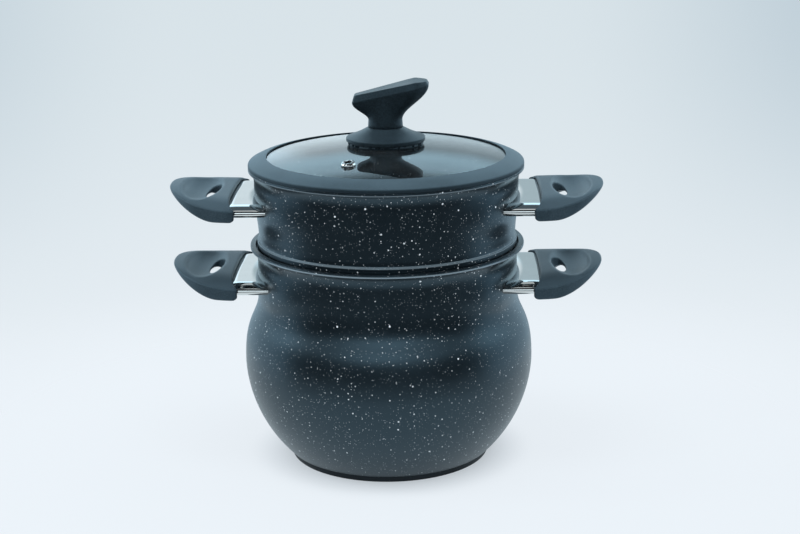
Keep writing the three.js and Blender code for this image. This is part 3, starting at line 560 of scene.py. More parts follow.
steamer_inside = np.concatenate([
    curve([(MOUTH_RADIUS, wall_end + 8), (WALL_HIGH - STEAMER_SKIN, wall_end)], 3),
    curve([(WALL_HIGH - STEAMER_SKIN, wall_end), (116, 212.6)], 6)[1:],
    eased((116, 212.6), (spigot_inside, 201.8, 1.0), (spigot_inside, 199), closed=False)[1:],
    curve([(spigot_inside, FOOT_BOTTOM), (spigot_inside, steamer_floor), (spigot_inside - 6, steamer_floor)], 6),
    [(103, steamer_floor), (SIEVE_RADIUS, steamer_floor), (SIEVE_RADIUS, STEAMER_UNDER)]])
steamer = cast_wall("steamer_casting", steamer_outside, steamer_inside, STEAMER_WALL, STEAMER_HANDLE, COAT)
dress(steamer, "steamer", "granite_coat", "steamer_body")

# %% [markdown]
# ## The perforated floor
# Steam rises through rings of small holes in the steamer's floor. The n-th hole knows its ring from its number alone:
# a ring k of a hexagonal pattern holds 6k holes. So a geometry-nodes tree can place any number of rings from one
# formula, put a drill at each place, and cut them all out of a plate at once.

# %% Sieve tree
def sieve_tree():
    """Cuts rings of holes out of a round plate."""
    tree, given = new_tree("sieve", Blank="Geometry", Rings="Int", Pitch="Float", Hole_Radius="Float",
                           Plate_Radius="Float", Thickness="Float", Place="Vector", Finish="Material")
    rings = given["Rings"]
    holes = maths(tree, "ADD", maths(tree, "MULTIPLY", maths(tree, "MULTIPLY", rings, 3.0),
                                     maths(tree, "ADD", rings, 1.0)), 1.0)
    points = put(tree, "GeometryNodePoints", {"Count": holes}).outputs[0]
    number = put(tree, "GeometryNodeInputIndex").outputs[0]
    root = maths(tree, "SQRT", maths(tree, "ADD", maths(tree, "MULTIPLY", number, 12.0), 9.0))
    ring = maths(tree, "CEIL", maths(tree, "SUBTRACT", maths(tree, "DIVIDE", maths(tree, "SUBTRACT", root, 3.0), 6.0),
                                     0.0001))
    before = maths(tree, "MULTIPLY", maths(tree, "MULTIPLY", ring, 3.0), maths(tree, "SUBTRACT", ring, 1.0))
    step = maths(tree, "DIVIDE", maths(tree, "SUBTRACT", number, maths(tree, "ADD", before, 1.0)),
                 maths(tree, "MAXIMUM", maths(tree, "MULTIPLY", ring, 6.0), 1.0))
    turn = maths(tree, "MULTIPLY", step, 2 * math.pi)
    far = maths(tree, "MULTIPLY", ring, given["Pitch"])
    spot = put(tree, "ShaderNodeCombineXYZ", {0: maths(tree, "MULTIPLY", far, maths(tree, "COSINE", turn)),
                                              1: maths(tree, "MULTIPLY", far, maths(tree, "SINE", turn))}).outputs[0]
    placed = put(tree, "GeometryNodeSetPosition", {"Geometry": points, "Position": spot}).outputs[0]
    drill = put(tree, "GeometryNodeMeshCylinder", {"Vertices": 16, "Radius": given["Hole Radius"],
                "Depth": maths(tree, "MULTIPLY", given["Thickness"], 2.0)}).outputs["Mesh"]
    drills = put(tree, "GeometryNodeInstanceOnPoints", {"Points": placed, "Instance": drill}).outputs[0]
    cutters = put(tree, "GeometryNodeRealizeInstances", {0: drills}).outputs[0]
    plate = put(tree, "GeometryNodeMeshCylinder", {"Vertices": 180, "Radius": given["Plate Radius"],
                "Depth": given["Thickness"]}).outputs["Mesh"]
    cut = put(tree, "GeometryNodeMeshBoolean", {"Mesh 1": plate, "Mesh 2": cutters}, operation="DIFFERENCE").outputs[0]
    moved = put(tree, "GeometryNodeTransform", {"Geometry": cut, "Translation": given["Place"]}).outputs[0]
    return end_tree(tree, moved, given["Finish"])


# %% Sieve
HOLE_RINGS, HOLE_PITCH, HOLE_RADIUS = 4, 22.0, 1.9
sieve = link(bpy.data.objects.new("steamer_sieve", bpy.data.meshes.new("steamer_sieve")))
with_tree(sieve, sieve_tree(), rings=HOLE_RINGS, pitch=HOLE_PITCH * MM, hole_radius=HOLE_RADIUS * MM,
          plate_radius=SIEVE_RADIUS * MM, thickness=STEAMER_SKIN * MM,
          place=(0, 0, (STEAMER_UNDER + STEAMER_SKIN / 2) * MM), finish=COAT)
dress(sieve, "steamer", "granite_coat")

# %% [markdown]
# ## Flame guards
# A flat oval sleeve of polished sheet shields each grip from the flame. Its inner end follows the pad that it meets,
# and its outer end is hidden in the grip. It is an oval carried outward, once on its outside and once back along its
# inside, so the sheet has its real thickness.

# %% Guards
GUARD_BEND, SHEET_THICK, SHEET_EASE, GUARD_BURIED = 16.0, 1.0, 0.25, 0.4
SHEET_STATIONS = [(0, SHEET_EASE), (0.012, 0), (0.35, 0), (0.7, 0), (0.985, 0), (1, SHEET_EASE)]
SHEET_STATIONS += [(share, SHEET_THICK) for share in (1, 0.985, 0.012, 0)]


def oval(inset, across=40, around=24):
    """Points round the guard's oval, moved in by an inset, anticlockwise seen from outside the handle."""
    bend, end = GUARD_BEND - inset, GUARD_HEIGHT / 2 - inset
    straight = GUARD_WIDTH / 2 - GUARD_BEND
    turn = np.linspace(-math.pi / 2, math.pi / 2, around + 1)
    right = np.stack([straight + bend * np.cos(turn), end * np.sin(turn)], 1)
    top = np.stack([np.linspace(straight, -straight, across + 1)[1:-1], np.full(across - 1, end)], 1)
    return np.concatenate([right, top, -right, -top])


def strip(near, far, count):
    """Faces between two rings of points, given by the numbers of their first points."""
    return [(near + i, near + (i + 1) % count, far + (i + 1) % count, far + i) for i in range(count)]


def beside(points, wall, height, side):
    """Moves points from the handle's own place to its place on one side of a vessel."""
    moved = np.asarray(points) + (wall, 0, height)
    return moved if side == "right" else moved * (-1, -1, 1)


def guard(vessel, side, wall, height):
    """One flame guard: the sheet's outside, then back along its inside."""
    across = oval(0)[:, 0]
    start = np.sqrt((wall + pad_stand(across) - GUARD_BURIED) ** 2 - across ** 2) - wall
    loops = [np.column_stack([start + (GUARD_REACH - start) * share, oval(inset)]) for share, inset in SHEET_STATIONS]
    count = len(across)
    faces = []
    for k in range(len(loops)):
        faces += strip(k * count, (k + 1) % len(loops) * count, count)
    points = beside(np.concatenate(loops), wall, height + GUARD_LIFT, side)
    name = f"{vessel}_{side}_guard_sheet"
    return dress(mesh_piece(name, points, faces, SHEET), vessel, "polished_steel", f"{vessel}_{side}_flame_guard")


VESSELS = (("pot", POT_WALL, POT_HANDLE), ("steamer", STEAMER_WALL, STEAMER_HANDLE))
HANDLES = [(vessel, side, wall, height) for vessel, wall, height in VESSELS for side in ("right", "left")]
for handle in HANDLES:
    guard(*handle)

# %% [markdown]
# ## Half-moon grips
# A grip is a crowned half-moon with a dished thumb scoop, a finger slot behind it, and pockets for the guard, the
# tongue and the screw. Cutting such a shape from meshes leaves hard edges everywhere, and a moulded part has none. So
# the shape is written as a field, negative inside and positive outside: each face is one formula, a soft maximum joins
# two faces with a rounded edge, and the surface is read off where the field is zero.

# %% Field to surface
PROBE, LEAST_SLOPE, PULLS, LONGEST_PULL = 0.02, 0.25, 3, 0.4


def soft_max(a, b, ease):
    """The larger of two fields, eased where they meet."""
    near = np.maximum(ease - np.abs(a - b), 0) / ease
    return np.maximum(a, b) + near * near * ease / 4


def surface(field, low, high, step):
    """Points and faces where a field is zero, on a grid of cells, pulled onto the true surface."""
    axes = [np.arange(a, b + step, step) for a, b in zip(low, high)]
    grid = field(np.stack(np.meshgrid(*axes, indexing="ij"), -1))
    inside = grid < 0
    cells = tuple(n - 1 for n in grid.shape)
    corners = [(i, j, k) for i in (0, 1) for j in (0, 1) for k in (0, 1)]
    full = sum(inside[i:i + cells[0], j:j + cells[1], k:k + cells[2]].astype(int) for i, j, k in corners)
    used = (full > 0) & (full < 8)
    number = np.full(cells, -1)
    number[used] = np.arange(used.sum())
    places = np.argwhere(used)
    total, count = np.zeros((len(places), 3)), np.zeros(len(places))
    edges = [(a, b) for a in corners for b in corners if sum(b) - sum(a) == 1 and all(x <= y for x, y in zip(a, b))]
    for a, b in edges:
        fa, fb = grid[tuple((places + a).T)], grid[tuple((places + b).T)]
        cross = (fa < 0) != (fb < 0)
        share = np.where(cross, fa / np.where(cross, fa - fb, 1), 0)[:, None]
        total += np.where(cross[:, None], np.array(a) + share * (np.array(b) - np.array(a)), 0)
        count += cross
    points = (places + total / count[:, None]) * step + np.array(low)
    for _ in range(PULLS):
        value = field(points)
        slope = np.stack([field(points + d) - field(points - d) for d in np.eye(3) * PROBE], 1) / (2 * PROBE)
        size = np.maximum((slope ** 2).sum(1), LEAST_SLOPE)
        points -= np.clip((value / size)[:, None] * slope, -LONGEST_PULL, LONGEST_PULL)
    faces = []
    for axis in range(3):
        u, v = np.eye(3, dtype=int)[(axis + 1) % 3], np.eye(3, dtype=int)[(axis + 2) % 3]
        first = inside.take(range(grid.shape[axis] - 1), axis)
        second = inside.take(range(1, grid.shape[axis]), axis)
        for rising in (True, False):
            spots = np.argwhere((first & ~second) if rising else (~first & second))
            quad = np.stack([number[tuple((spots - o).T)] for o in (u + v, v, 0 * u, u)], 1)
            faces.append(quad if rising else quad[:, ::-1])
    return points, np.concatenate(faces)


# %% Faces of the grip
PLAN_START, PLAN_LENGTH, PLAN_HALF, PLAN_SCALE = 14.0, 66.0, 68.0, 67.0
CROWN, CROWN_FALL, RIDGE_EASE, TOP_SCALE = 17.2, 13.0, 3.0, 0.97
GRIP_START, RIDGE, RIDGE_RISE, RIDGE_LENGTH = 10.5, 10.2, 7.0, 70.5
KEEL_LEVEL, KEEL_START, KEEL_RISE, KEEL_SLOPE, KEEL_RUN, KEEL_BEND = -6.6, 32.0, 22.6, 45.0, 36.0, 12.0
HOLLOW_START, HOLLOW_DEPTH, HOLLOW_HALF = 11.5, 9.6, 65.0


def egg(x, y, z, middle, radii):
    """Distance from an egg shape, about right near its skin."""
    reach = np.stack([x - middle[0], y - middle[1], z - middle[2]], -1) / radii
    away = np.linalg.norm(reach, axis=-1)
    return away * (away - 1) / np.maximum(np.linalg.norm(reach / radii, axis=-1), 1e-6)


def grip_top(x, y, z):
    """The top: a crown that falls to both sides, under a ridge that rises to the nose."""
    crown = CROWN - CROWN_FALL * (y / PLAN_HALF) ** 2
    ridge = RIDGE + RIDGE_RISE * (x - GRIP_START) / RIDGE_LENGTH
    return (z + soft_max(-crown, -ridge, RIDGE_EASE)) * TOP_SCALE


def grip_keel(x, z):
    """The underside: level near the wall, then a curve up to the nose."""
    along = np.maximum(x - KEEL_START, 0)
    rise = (np.sqrt(KEEL_RUN ** 2 + 4 * KEEL_BEND * along) - KEEL_RUN) / (2 * KEEL_BEND)
    steep = KEEL_SLOPE * rise / (KEEL_RUN + 2 * KEEL_BEND * rise)
    return (KEEL_LEVEL + KEEL_RISE * rise ** 2 - z) / np.sqrt(1 + steep ** 2)


def grip_hollow(x, y):
    """The inner side, which bows away from the wall between two horns."""
    bow = np.cbrt(np.maximum(1 - np.abs(y / HOLLOW_HALF) ** 3, 0.01))
    steep = HOLLOW_DEPTH * y ** 2 / (HOLLOW_HALF ** 3 * bow ** 2)
    return (HOLLOW_START + HOLLOW_DEPTH * bow - x) / np.sqrt(1 + steep ** 2)


# %% Grip field
EDGE_EASE, KEEL_EASE, HORN_EASE, HORN_RISE, HORN_LEVEL, HORN_SCALE = 1.6, 2.0, 1.5, (4, 5), -2.6, 6.4
SCOOP_MIDDLE, SCOOP_RADII, SCOOP_EASE = (49, 0, 17.2), (19, 53, 11.8), 2.2
RECESS_MIDDLE, RECESS_RADII, RECESS_EASE = (45.5, 0, -6.6), (13.5, 44, 9.6), 1.2
SLOT_OUT, SLOT_DEPTH, SLOT_HALF, SLOT_SCALE, SLOT_EASE = 39.3, 6.7, 22.0, 7.5, 0.9
SLEEVE_STRAIGHT, SLEEVE_HALF, SLEEVE_END, POCKET_GAP = 47.0, 6.2, 16.4, 0.3
TONGUE_REACH, TONGUE_HALF, TONGUE_RISE = 27.3, 30.3, 4.2
SHANK_WAY, SHANK_END, HEAD_WAY, HEAD_FROM, HEAD_TO = 2.8, 34.0, 4.8, 32.0, 45.0


def grip_field(p):
    """The grip in millimetres: outward from the wall, across, and up from the handle's centre line."""
    x, y, z = p[..., 0], p[..., 1], p[..., 2]
    plan = (np.hypot(np.maximum(x - PLAN_START, 0) / PLAN_LENGTH, y / PLAN_HALF) - 1) * PLAN_SCALE
    horn = ((GRIP_START - x) * HORN_RISE[0] - (z - HORN_LEVEL) * HORN_RISE[1]) / HORN_SCALE
    body = soft_max(soft_max(plan, grip_top(x, y, z), EDGE_EASE), grip_keel(x, z), KEEL_EASE)
    body = soft_max(soft_max(body, grip_hollow(x, y), EDGE_EASE), horn, HORN_EASE)
    body = soft_max(body, -egg(x, y, z, SCOOP_MIDDLE, SCOOP_RADII), SCOOP_EASE)
    slot = (np.hypot((x - SLOT_OUT) / SLOT_DEPTH, y / SLOT_HALF) - 1) * SLOT_SCALE
    body = soft_max(body, -slot, SLOT_EASE)
    body = soft_max(body, -egg(x, y, z, RECESS_MIDDLE, RECESS_RADII), RECESS_EASE)
    beyond = np.maximum(np.abs(y) - SLEEVE_STRAIGHT, 0) * SLEEVE_HALF / SLEEVE_END
    sleeve = np.maximum(np.hypot(beyond, z - GUARD_LIFT) - SLEEVE_HALF, x - GUARD_REACH - POCKET_GAP)
    tongue = np.maximum(np.maximum(np.abs(y) - TONGUE_HALF, np.abs(z) - TONGUE_RISE), x - TONGUE_REACH)
    round_way = np.hypot(y, z)
    shank = np.maximum(round_way - SHANK_WAY, x - SHANK_END)
    head = np.maximum(np.maximum(round_way - HEAD_WAY, HEAD_FROM - x), x - HEAD_TO)
    for pocket in (sleeve, tongue, shank, head):
        body = np.maximum(body, -pocket)
    return body


# %% Grips
GRIP_LOW, GRIP_HIGH, GRIP_CELL = (9.5, -70, -8.2), (82, 70, 19.4), 0.8
grip_points, grip_faces = surface(grip_field, GRIP_LOW, GRIP_HIGH, GRIP_CELL)
for vessel, side, wall, height in HANDLES:
    points = beside(grip_points, wall, height, side)
    grip = mesh_piece(f"{vessel}_{side}_grip_moulding", points, grip_faces, BAKELITE)
    dress(grip, vessel, "bakelite", f"{vessel}_{side}_grip")

# %% [markdown]
# ## Grip screws
# One screw holds each grip, with its head against the wall of the finger slot. The same screw comes four times, so it
# is drawn once inside a geometry-nodes tree and set at points, each turned to face away from the pot's axis.

# %% Screw tree
def screw_tree():
    """Sets a cross-headed screw at every seat."""
    tree, given = new_tree("grip screw", Seats="Geometry", Shank_Radius="Float", Shank_Length="Float",
                           Head_Radius="Float", Head_Height="Float", Recess="Float", Finish="Material")

    def rod(radius, length, start):
        """An upright cylinder from a given height."""
        mesh = put(tree, "GeometryNodeMeshCylinder", {"Vertices": 40, "Radius": radius, "Depth": length}).outputs[0]
        middle = maths(tree, "ADD", start, maths(tree, "MULTIPLY", length, 0.5))
        up = put(tree, "ShaderNodeCombineXYZ", {2: middle}).outputs[0]
        return put(tree, "GeometryNodeTransform", {"Geometry": mesh, "Translation": up}).outputs[0]

    shank = rod(given["Shank Radius"], given["Shank Length"],
                maths(tree, "MULTIPLY", given["Shank Length"], -1.0))
    head = rod(given["Head Radius"], given["Head Height"], 0.0)
    bars = []
    for long_axis in (0, 1):
        size = put(tree, "ShaderNodeCombineXYZ", {0: given["Recess"], 1: given["Recess"], 2: given["Head Height"]})
        fill(tree, size.inputs[long_axis], maths(tree, "MULTIPLY", given["Recess"], 4.0))
        cube = put(tree, "GeometryNodeMeshCube", {"Size": size.outputs[0]}).outputs[0]
        lift = put(tree, "ShaderNodeCombineXYZ", {2: given["Head Height"]}).outputs[0]
        bars.append(put(tree, "GeometryNodeTransform", {"Geometry": cube, "Translation": lift}).outputs[0])
    cross = put(tree, "GeometryNodeMeshBoolean", {"Mesh 1": head}, operation="DIFFERENCE")
    for bar in bars:
        tree.links.new(bar, cross.inputs["Mesh 2"])
    screw = put(tree, "GeometryNodeMeshBoolean", operation="UNION")
    for part in (cross.outputs[0], shank):
        tree.links.new(part, screw.inputs["Mesh 2"])
    place = put(tree, "GeometryNodeInputPosition").outputs[0]
    outward = put(tree, "ShaderNodeVectorMath", {0: place, 1: (1, 0, 0)}, operation="MULTIPLY").outputs[0]
    facing = put(tree, "FunctionNodeAlignRotationToVector", {"Vector": outward}, axis="Z").outputs[0]
    set_out = put(tree, "GeometryNodeInstanceOnPoints",
                  {"Points": given["Seats"], "Instance": screw.outputs[0], "Rotation": facing}).outputs[0]
    return end_tree(tree, set_out, given["Finish"])


# %% Screws and tongues
SCREW = screw_tree()
HEAD_SEAT, HEAD_RADIUS, HEAD_HEIGHT, CROSS_WIDTH = 32.3, 4.2, 2.5, 1.1
SHANK_RADIUS, SHANK_LENGTH = 2.5, 20.0
for vessel, wall, height in VESSELS:
    seats = bpy.data.meshes.new(f"{vessel}_grip_screws")
    seats.from_pydata([(sign * (wall + HEAD_SEAT) * MM, 0, height * MM) for sign in (1, -1)], [], [])
    screws = link(bpy.data.objects.new(f"{vessel}_grip_screws", seats))
    with_tree(screws, SCREW, shank_radius=SHANK_RADIUS * MM, shank_length=SHANK_LENGTH * MM,
              head_radius=HEAD_RADIUS * MM, head_height=HEAD_HEIGHT * MM, recess=CROSS_WIDTH * MM, finish=STEEL)
    dress(screws, vessel, "fastener_steel", f"{vessel}_right_grip_screw", f"{vessel}_left_grip_screw")
for vessel, side, *_ in HANDLES:
    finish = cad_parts[f"{vessel}_{side}_lug"].data.materials
    finish.clear()
    finish.append(STEEL)

# %% [markdown]
# ## The lid
# A shallow dome of glass sits in a wide soft rim, which slopes down to the edge and has a plug below that keeps the
# lid on the steamer. Both are turned. The glass then gets a round hole for the vent, and the vent's eyelet is turned
# upright, crimped a little, and tilted to stand square on the dome.

# %% Glass dome
APEX, DOME = 296.6, 505.0
GLASS_RADIUS, GLASS_THICK, GLASS_EASE, GLASS_BORE = 116.0, 4.0, 0.8, 4.2
VENT_DISTANCE, VENT_TURN, VENT_HOLE = 79.0, 247.5, 4.6


def dome(distance, depth=0.0):
    """Height of the glass at a distance from the middle, on its upper face or deeper."""
    return APEX - DOME + np.sqrt((DOME - depth) ** 2 - np.asarray(distance, float) ** 2)


def on_dome(distance, depth=0.0):
    """A point of the glass, as distance and height."""
    return distance, float(dome(distance, depth))


def dome_face(start, end, depth, steps=40):
    """Points along the glass, at one depth below its upper face."""
    distance = np.linspace(start, end, steps + 1)
    return np.stack([distance, dome(distance, depth)], 1)


def looped(*parts):
    """Parts of an outline in a row, closed to a loop."""
    points = np.concatenate(parts)
    return np.concatenate([points, points[:1]])


shy = GLASS_RADIUS - GLASS_EASE
glass_edge = curve([on_dome(shy, GLASS_THICK), on_dome(GLASS_RADIUS, GLASS_THICK),
                    on_dome(GLASS_RADIUS, GLASS_THICK - GLASS_EASE)], 4)
glass_over = curve([on_dome(GLASS_RADIUS, GLASS_EASE), on_dome(GLASS_RADIUS), on_dome(shy)], 4)
glass_outline = looped(dome_face(GLASS_BORE, GLASS_RADIUS - 1, GLASS_THICK), glass_edge, glass_over,
                       dome_face(GLASS_RADIUS - 1, GLASS_BORE, 0))
glass = turned("lid_dome", glass_outline, GLASS, 180)

vent_place = (Matrix.Rotation(math.radians(VENT_TURN), 4, "Z")
              @ Matrix.Translation(Vector((VENT_DISTANCE, 0, float(dome(VENT_DISTANCE)))) * MM)
              @ Matrix.Rotation(math.asin(VENT_DISTANCE / DOME), 4, "Y"))
drill = turned("vent_drill", [(0, -9), (VENT_HOLE, -9), (VENT_HOLE, 5), (0, 5)], GLASS, 48)
drill.data.transform(vent_place)
vent_cut = glass.modifiers.new("vent hole", "BOOLEAN")
vent_cut.object = drill
vent_cut.solver = "EXACT"
settle(glass)
bpy.data.objects.remove(drill)
dress(glass, "lid", "tempered_glass", "lid_glass")

# %% Soft rim
PLUG_INSIDE, PLUG_OUTSIDE, PLUG_BOTTOM, RIM_BOTTOM, RIM_EDGE = 112.0, 120.5, 271.0, 276.6, 279.8
RIM_INSIDE, RIM_TOP, RIM_UNDER, LEDGE = 110.0, 286.07, 284.77, 279.62
GROOVE_RADIUS, GROOVE_TOP, GROOVE_BOTTOM, RIM_SLOPE = GLASS_RADIUS + FIT, 283.33, 278.61, (119, 283.9, 6.0)
lid_rim_outline = eased(
    (PLUG_INSIDE, PLUG_BOTTOM, 0.8), (PLUG_OUTSIDE, PLUG_BOTTOM, 1.0), (PLUG_OUTSIDE, RIM_BOTTOM, 0.3),
    (LIP_RADIUS, RIM_BOTTOM, 0.3), (LIP_RADIUS, RIM_EDGE, 1.5), RIM_SLOPE, (RIM_INSIDE, RIM_TOP, 0.6),
    (RIM_INSIDE, RIM_UNDER), (GROOVE_RADIUS, GROOVE_TOP), (GROOVE_RADIUS, GROOVE_BOTTOM), (PLUG_INSIDE, LEDGE, 0.3))
lid_rim = turned("lid_soft_rim", lid_rim_outline, SILICONE, 180)
dress(lid_rim, "lid", "silicone", "lid_rim")

# %% Vent eyelet
EYELET_BORE, EYELET_BARREL, EYELET_BRIM, EYELET_CROWN = 3.4, 4.3, 6.6, 5.2
EYELET_FOOT, EYELET_EDGE, EYELET_TOP = -4.3, 1.5, 3.3
CRIMPS, CRIMP_DEPTH, CRIMP_FROM = 8, 0.7, 0.9
eyelet = turned("vent_ferrule", eased(
    (EYELET_BORE, EYELET_FOOT, 0.2), (EYELET_BARREL, EYELET_FOOT, 0.2), (EYELET_BARREL, FIT), (EYELET_BRIM, FIT, 0.2),
    (EYELET_BRIM, EYELET_EDGE, 0.6), (EYELET_CROWN, EYELET_TOP, 0.8), (EYELET_BORE, EYELET_TOP, 0.35)), SHEET, 60)
for vertex in eyelet.data.vertices:
    if vertex.co.z > CRIMP_FROM * MM:
        turn = math.atan2(vertex.co.y, vertex.co.x)
        vertex.co.z -= CRIMP_DEPTH * MM * max(0.0, math.cos(CRIMPS * turn)) ** 2
eyelet.data.transform(vent_place)
dress(eyelet, "lid", "polished_steel", "vent_eyelet")

# %% [markdown]
# ## The knob
# The knob stands on a thin seal and a conical skirt, both turned. Its own shape is a loft: a round neck opens into a
# tilted plate that widens to the right and ends in a blunt nose. Rings of points run from the neck up to the plate's
# edge, over the edge, and in to the middle of the top, and every ring has the same number of points.

# %% Seal and skirt
SEAL_TOP, SKIRT_BOTTOM, SKIRT_TOP, KNOB_BOTTOM = 298.28, 298.3, 311.0, 311.3
SEAL_RADIUS, SKIRT_RADIUS, SKIRT_EDGE, NECK_RADIUS, SCREW_BORE = 34.5, 36.2, 3.6, 16.0, 2.8
CONE_RADIUS, CONE_RISE, ON_GLASS = 26.0, 7.3, -0.02
seal_outline = looped(
    dome_face(GLASS_BORE, SEAL_RADIUS - 0.3, ON_GLASS, 12), [(SEAL_RADIUS, dome(SEAL_RADIUS, ON_GLASS) + 0.3)],
    eased((SEAL_RADIUS, SEAL_TOP - 0.6), (SEAL_RADIUS, SEAL_TOP, 0.4), (GLASS_BORE, SEAL_TOP), closed=False))
dress(turned("knob_gasket", seal_outline, SILICONE), "lid", "silicone", "knob_seal")

skirt_outline = eased(
    (SCREW_BORE, SKIRT_BOTTOM), (SKIRT_RADIUS, SKIRT_BOTTOM, 1.0), (SKIRT_RADIUS, SKIRT_BOTTOM + SKIRT_EDGE, 0.6),
    (CONE_RADIUS, SKIRT_BOTTOM + CONE_RISE, 5.0), (NECK_RADIUS, SKIRT_TOP, 0.5), (SCREW_BORE, SKIRT_TOP))
dress(turned("knob_cone", skirt_outline, KNOB_BLACK), "lid", "bakelite", "knob_skirt")


# %% Plate of the knob
PLATE_TAIL, PLATE_WIDEST, PLATE_NOSE = (-30, -9), (27, -20), (40, -9)
PLATE_EASES = (2.5, 8, 3, 3, 8, 2.5)
PLATE_UNDER, PLATE_TILT, PLATE_THICK = KNOB_BOTTOM + 29.8, math.tan(math.radians(13)), 6.2


def plate_outline(inset, steps=10, edge=14):
    """The plate seen from above, with eased corners and the same points on every ring."""
    half = [(PLATE_TAIL[0] + inset, PLATE_TAIL[1] + inset), (PLATE_WIDEST[0], PLATE_WIDEST[1] + inset),
            (PLATE_NOSE[0] - inset, PLATE_NOSE[1] + 0.3 * inset)]
    corners = [np.array(c, float) for c in half + [(x, -y) for x, y in reversed(half)]]
    points = []
    for i, corner in enumerate(corners):
        after = (i + 1) % len(corners)
        back, ahead = corners[i - 1] - corner, corners[after] - corner
        start = corner + back / np.linalg.norm(back) * PLATE_EASES[i]
        end = corner + ahead / np.linalg.norm(ahead) * PLATE_EASES[i]
        stop = corners[after] - ahead / np.linalg.norm(ahead) * PLATE_EASES[after]
        points.append(curve([start, corner, end], steps))
        points.append(curve([end, stop], edge)[1:-1])
    return np.concatenate(points)


def plate_top(along):
    """Height of the tilted top, which is level past the widest place."""
    return PLATE_UNDER + PLATE_TILT * np.minimum(along, PLATE_WIDEST[0]) + PLATE_THICK


print("plate of the knob:", len(plate_outline(0)), "points a ring")


# %% Knob loft
WAIST_HEIGHT, WAIST_RADIUS, EDGE_INSET = KNOB_BOTTOM + 6.5, 15.6, 2.9
NECK_RINGS = ((15.7, KNOB_BOTTOM), (NECK_RADIUS, KNOB_BOTTOM + 0.3), (15.8, KNOB_BOTTOM + 3),
              (WAIST_RADIUS, WAIST_HEIGHT))
BAND_RINGS = ((0.04, 0.0), (0.1, 0.1), (0.5, 0.8), (0.86, 1.5), (0.95, 1.8), (1.0, 2.4), (1.0, EDGE_INSET))


def knob_rings():
    """Rings of points: up the neck, out under the plate, over its edge, and in along its top."""
    lower = plate_outline(0)
    under = PLATE_UNDER + PLATE_TILT * lower[:, 0]
    spread = np.hypot(lower[:, 0], lower[:, 1])
    unit = lower / spread[:, None]
    rings = [np.column_stack([unit * r, np.full(len(unit), h)]) for r, h in NECK_RINGS]
    for t in np.linspace(0, 1, 25)[1:]:
        ends = (1 - t) ** 3 + 3 * (1 - t) ** 2 * t
        reach = ends * WAIST_RADIUS + (1 - ends) * spread
        rise = 3 * (1 - t) ** 2 * t * 0.33 + 3 * (1 - t) * t ** 2 * 0.62 + t ** 3
        rings.append(np.column_stack([unit * reach[:, None], WAIST_HEIGHT + rise * (under - WAIST_HEIGHT)]))
    for share, inset in BAND_RINGS:
        ring = plate_outline(inset)
        foot = PLATE_UNDER + PLATE_TILT * ring[:, 0]
        rings.append(np.column_stack([ring, foot + share * (plate_top(ring[:, 0]) - foot)]))
    for shrink in (0.8, 0.55, 0.3):
        ring = plate_outline(EDGE_INSET) * shrink
        rings.append(np.column_stack([ring, plate_top(ring[:, 0])]))
    return rings


rings = knob_rings()
count = len(rings[0])
faces = [face for k in range(len(rings) - 1) for face in strip(k * count, (k + 1) * count, count)]
faces += [tuple(reversed(range(count))), tuple((len(rings) - 1) * count + i for i in range(count))]
dress(mesh_piece("knob_moulding", np.concatenate(rings), faces, KNOB_BLACK), "lid", "bakelite", "knob")

# %% Fastening under the glass
WASHER_RADIUS, WASHER_THICK, PAN_RADIUS, PAN_HEIGHT, SHANK_GRIP = 8.0, 1.5, 5.0, 3.0, 14.0
washer_top = float(dome(WASHER_RADIUS, GLASS_THICK)) - FIT
washer_bottom = washer_top - WASHER_THICK
washer_outline = eased((SCREW_BORE, washer_bottom), (WASHER_RADIUS, washer_bottom, 0.3),
                       (WASHER_RADIUS, washer_top, 0.3), (SCREW_BORE, washer_top))
dress(turned("knob_plain_washer", washer_outline, STEEL, 60), "lid", "fastener_steel", "knob_washer")
pan_top, screw_top = washer_bottom - FIT, KNOB_BOTTOM + SHANK_GRIP
screw_outline = eased((0, pan_top - PAN_HEIGHT), (PAN_RADIUS, pan_top - PAN_HEIGHT, 1.6), (PAN_RADIUS, pan_top, 0.2),
                      (SHANK_RADIUS, pan_top), (SHANK_RADIUS, screw_top, 0.5), (0, screw_top), closed=False)
dress(turned("knob_pan_screw", screw_outline, STEEL, 60), "lid", "fastener_steel", "knob_screw")

# %% [markdown]
# ## Floor, light and camera
# The steamer stands on a pale table, which fades out with distance, so no horizon shows against the pale backdrop.
# Dull faces are lit by a soft dome and three softboxes. Shiny faces mirror a room of their own: bright walls behind
# and beside, a dark ceiling, and a dark side behind the camera with one long light in it, as in a studio. So the black
# coat stays black in front, turns grey at its flanks, and gets one soft band of light round the belly. What is seen
# through the glass is the backdrop, dimmed overhead.

# %% Floor
PALE, PALE_MIRRORED = (0.835, 0.888, 0.937, 1), (0.8, 0.93, 1.0, 1)
TABLE_RINGS, TABLE_SIDES = (150, 300, 450, 600, 720), 96
SHADOW_END, FADE_START, FADE_END = (0.085, 0.14), 0.3, 0.68


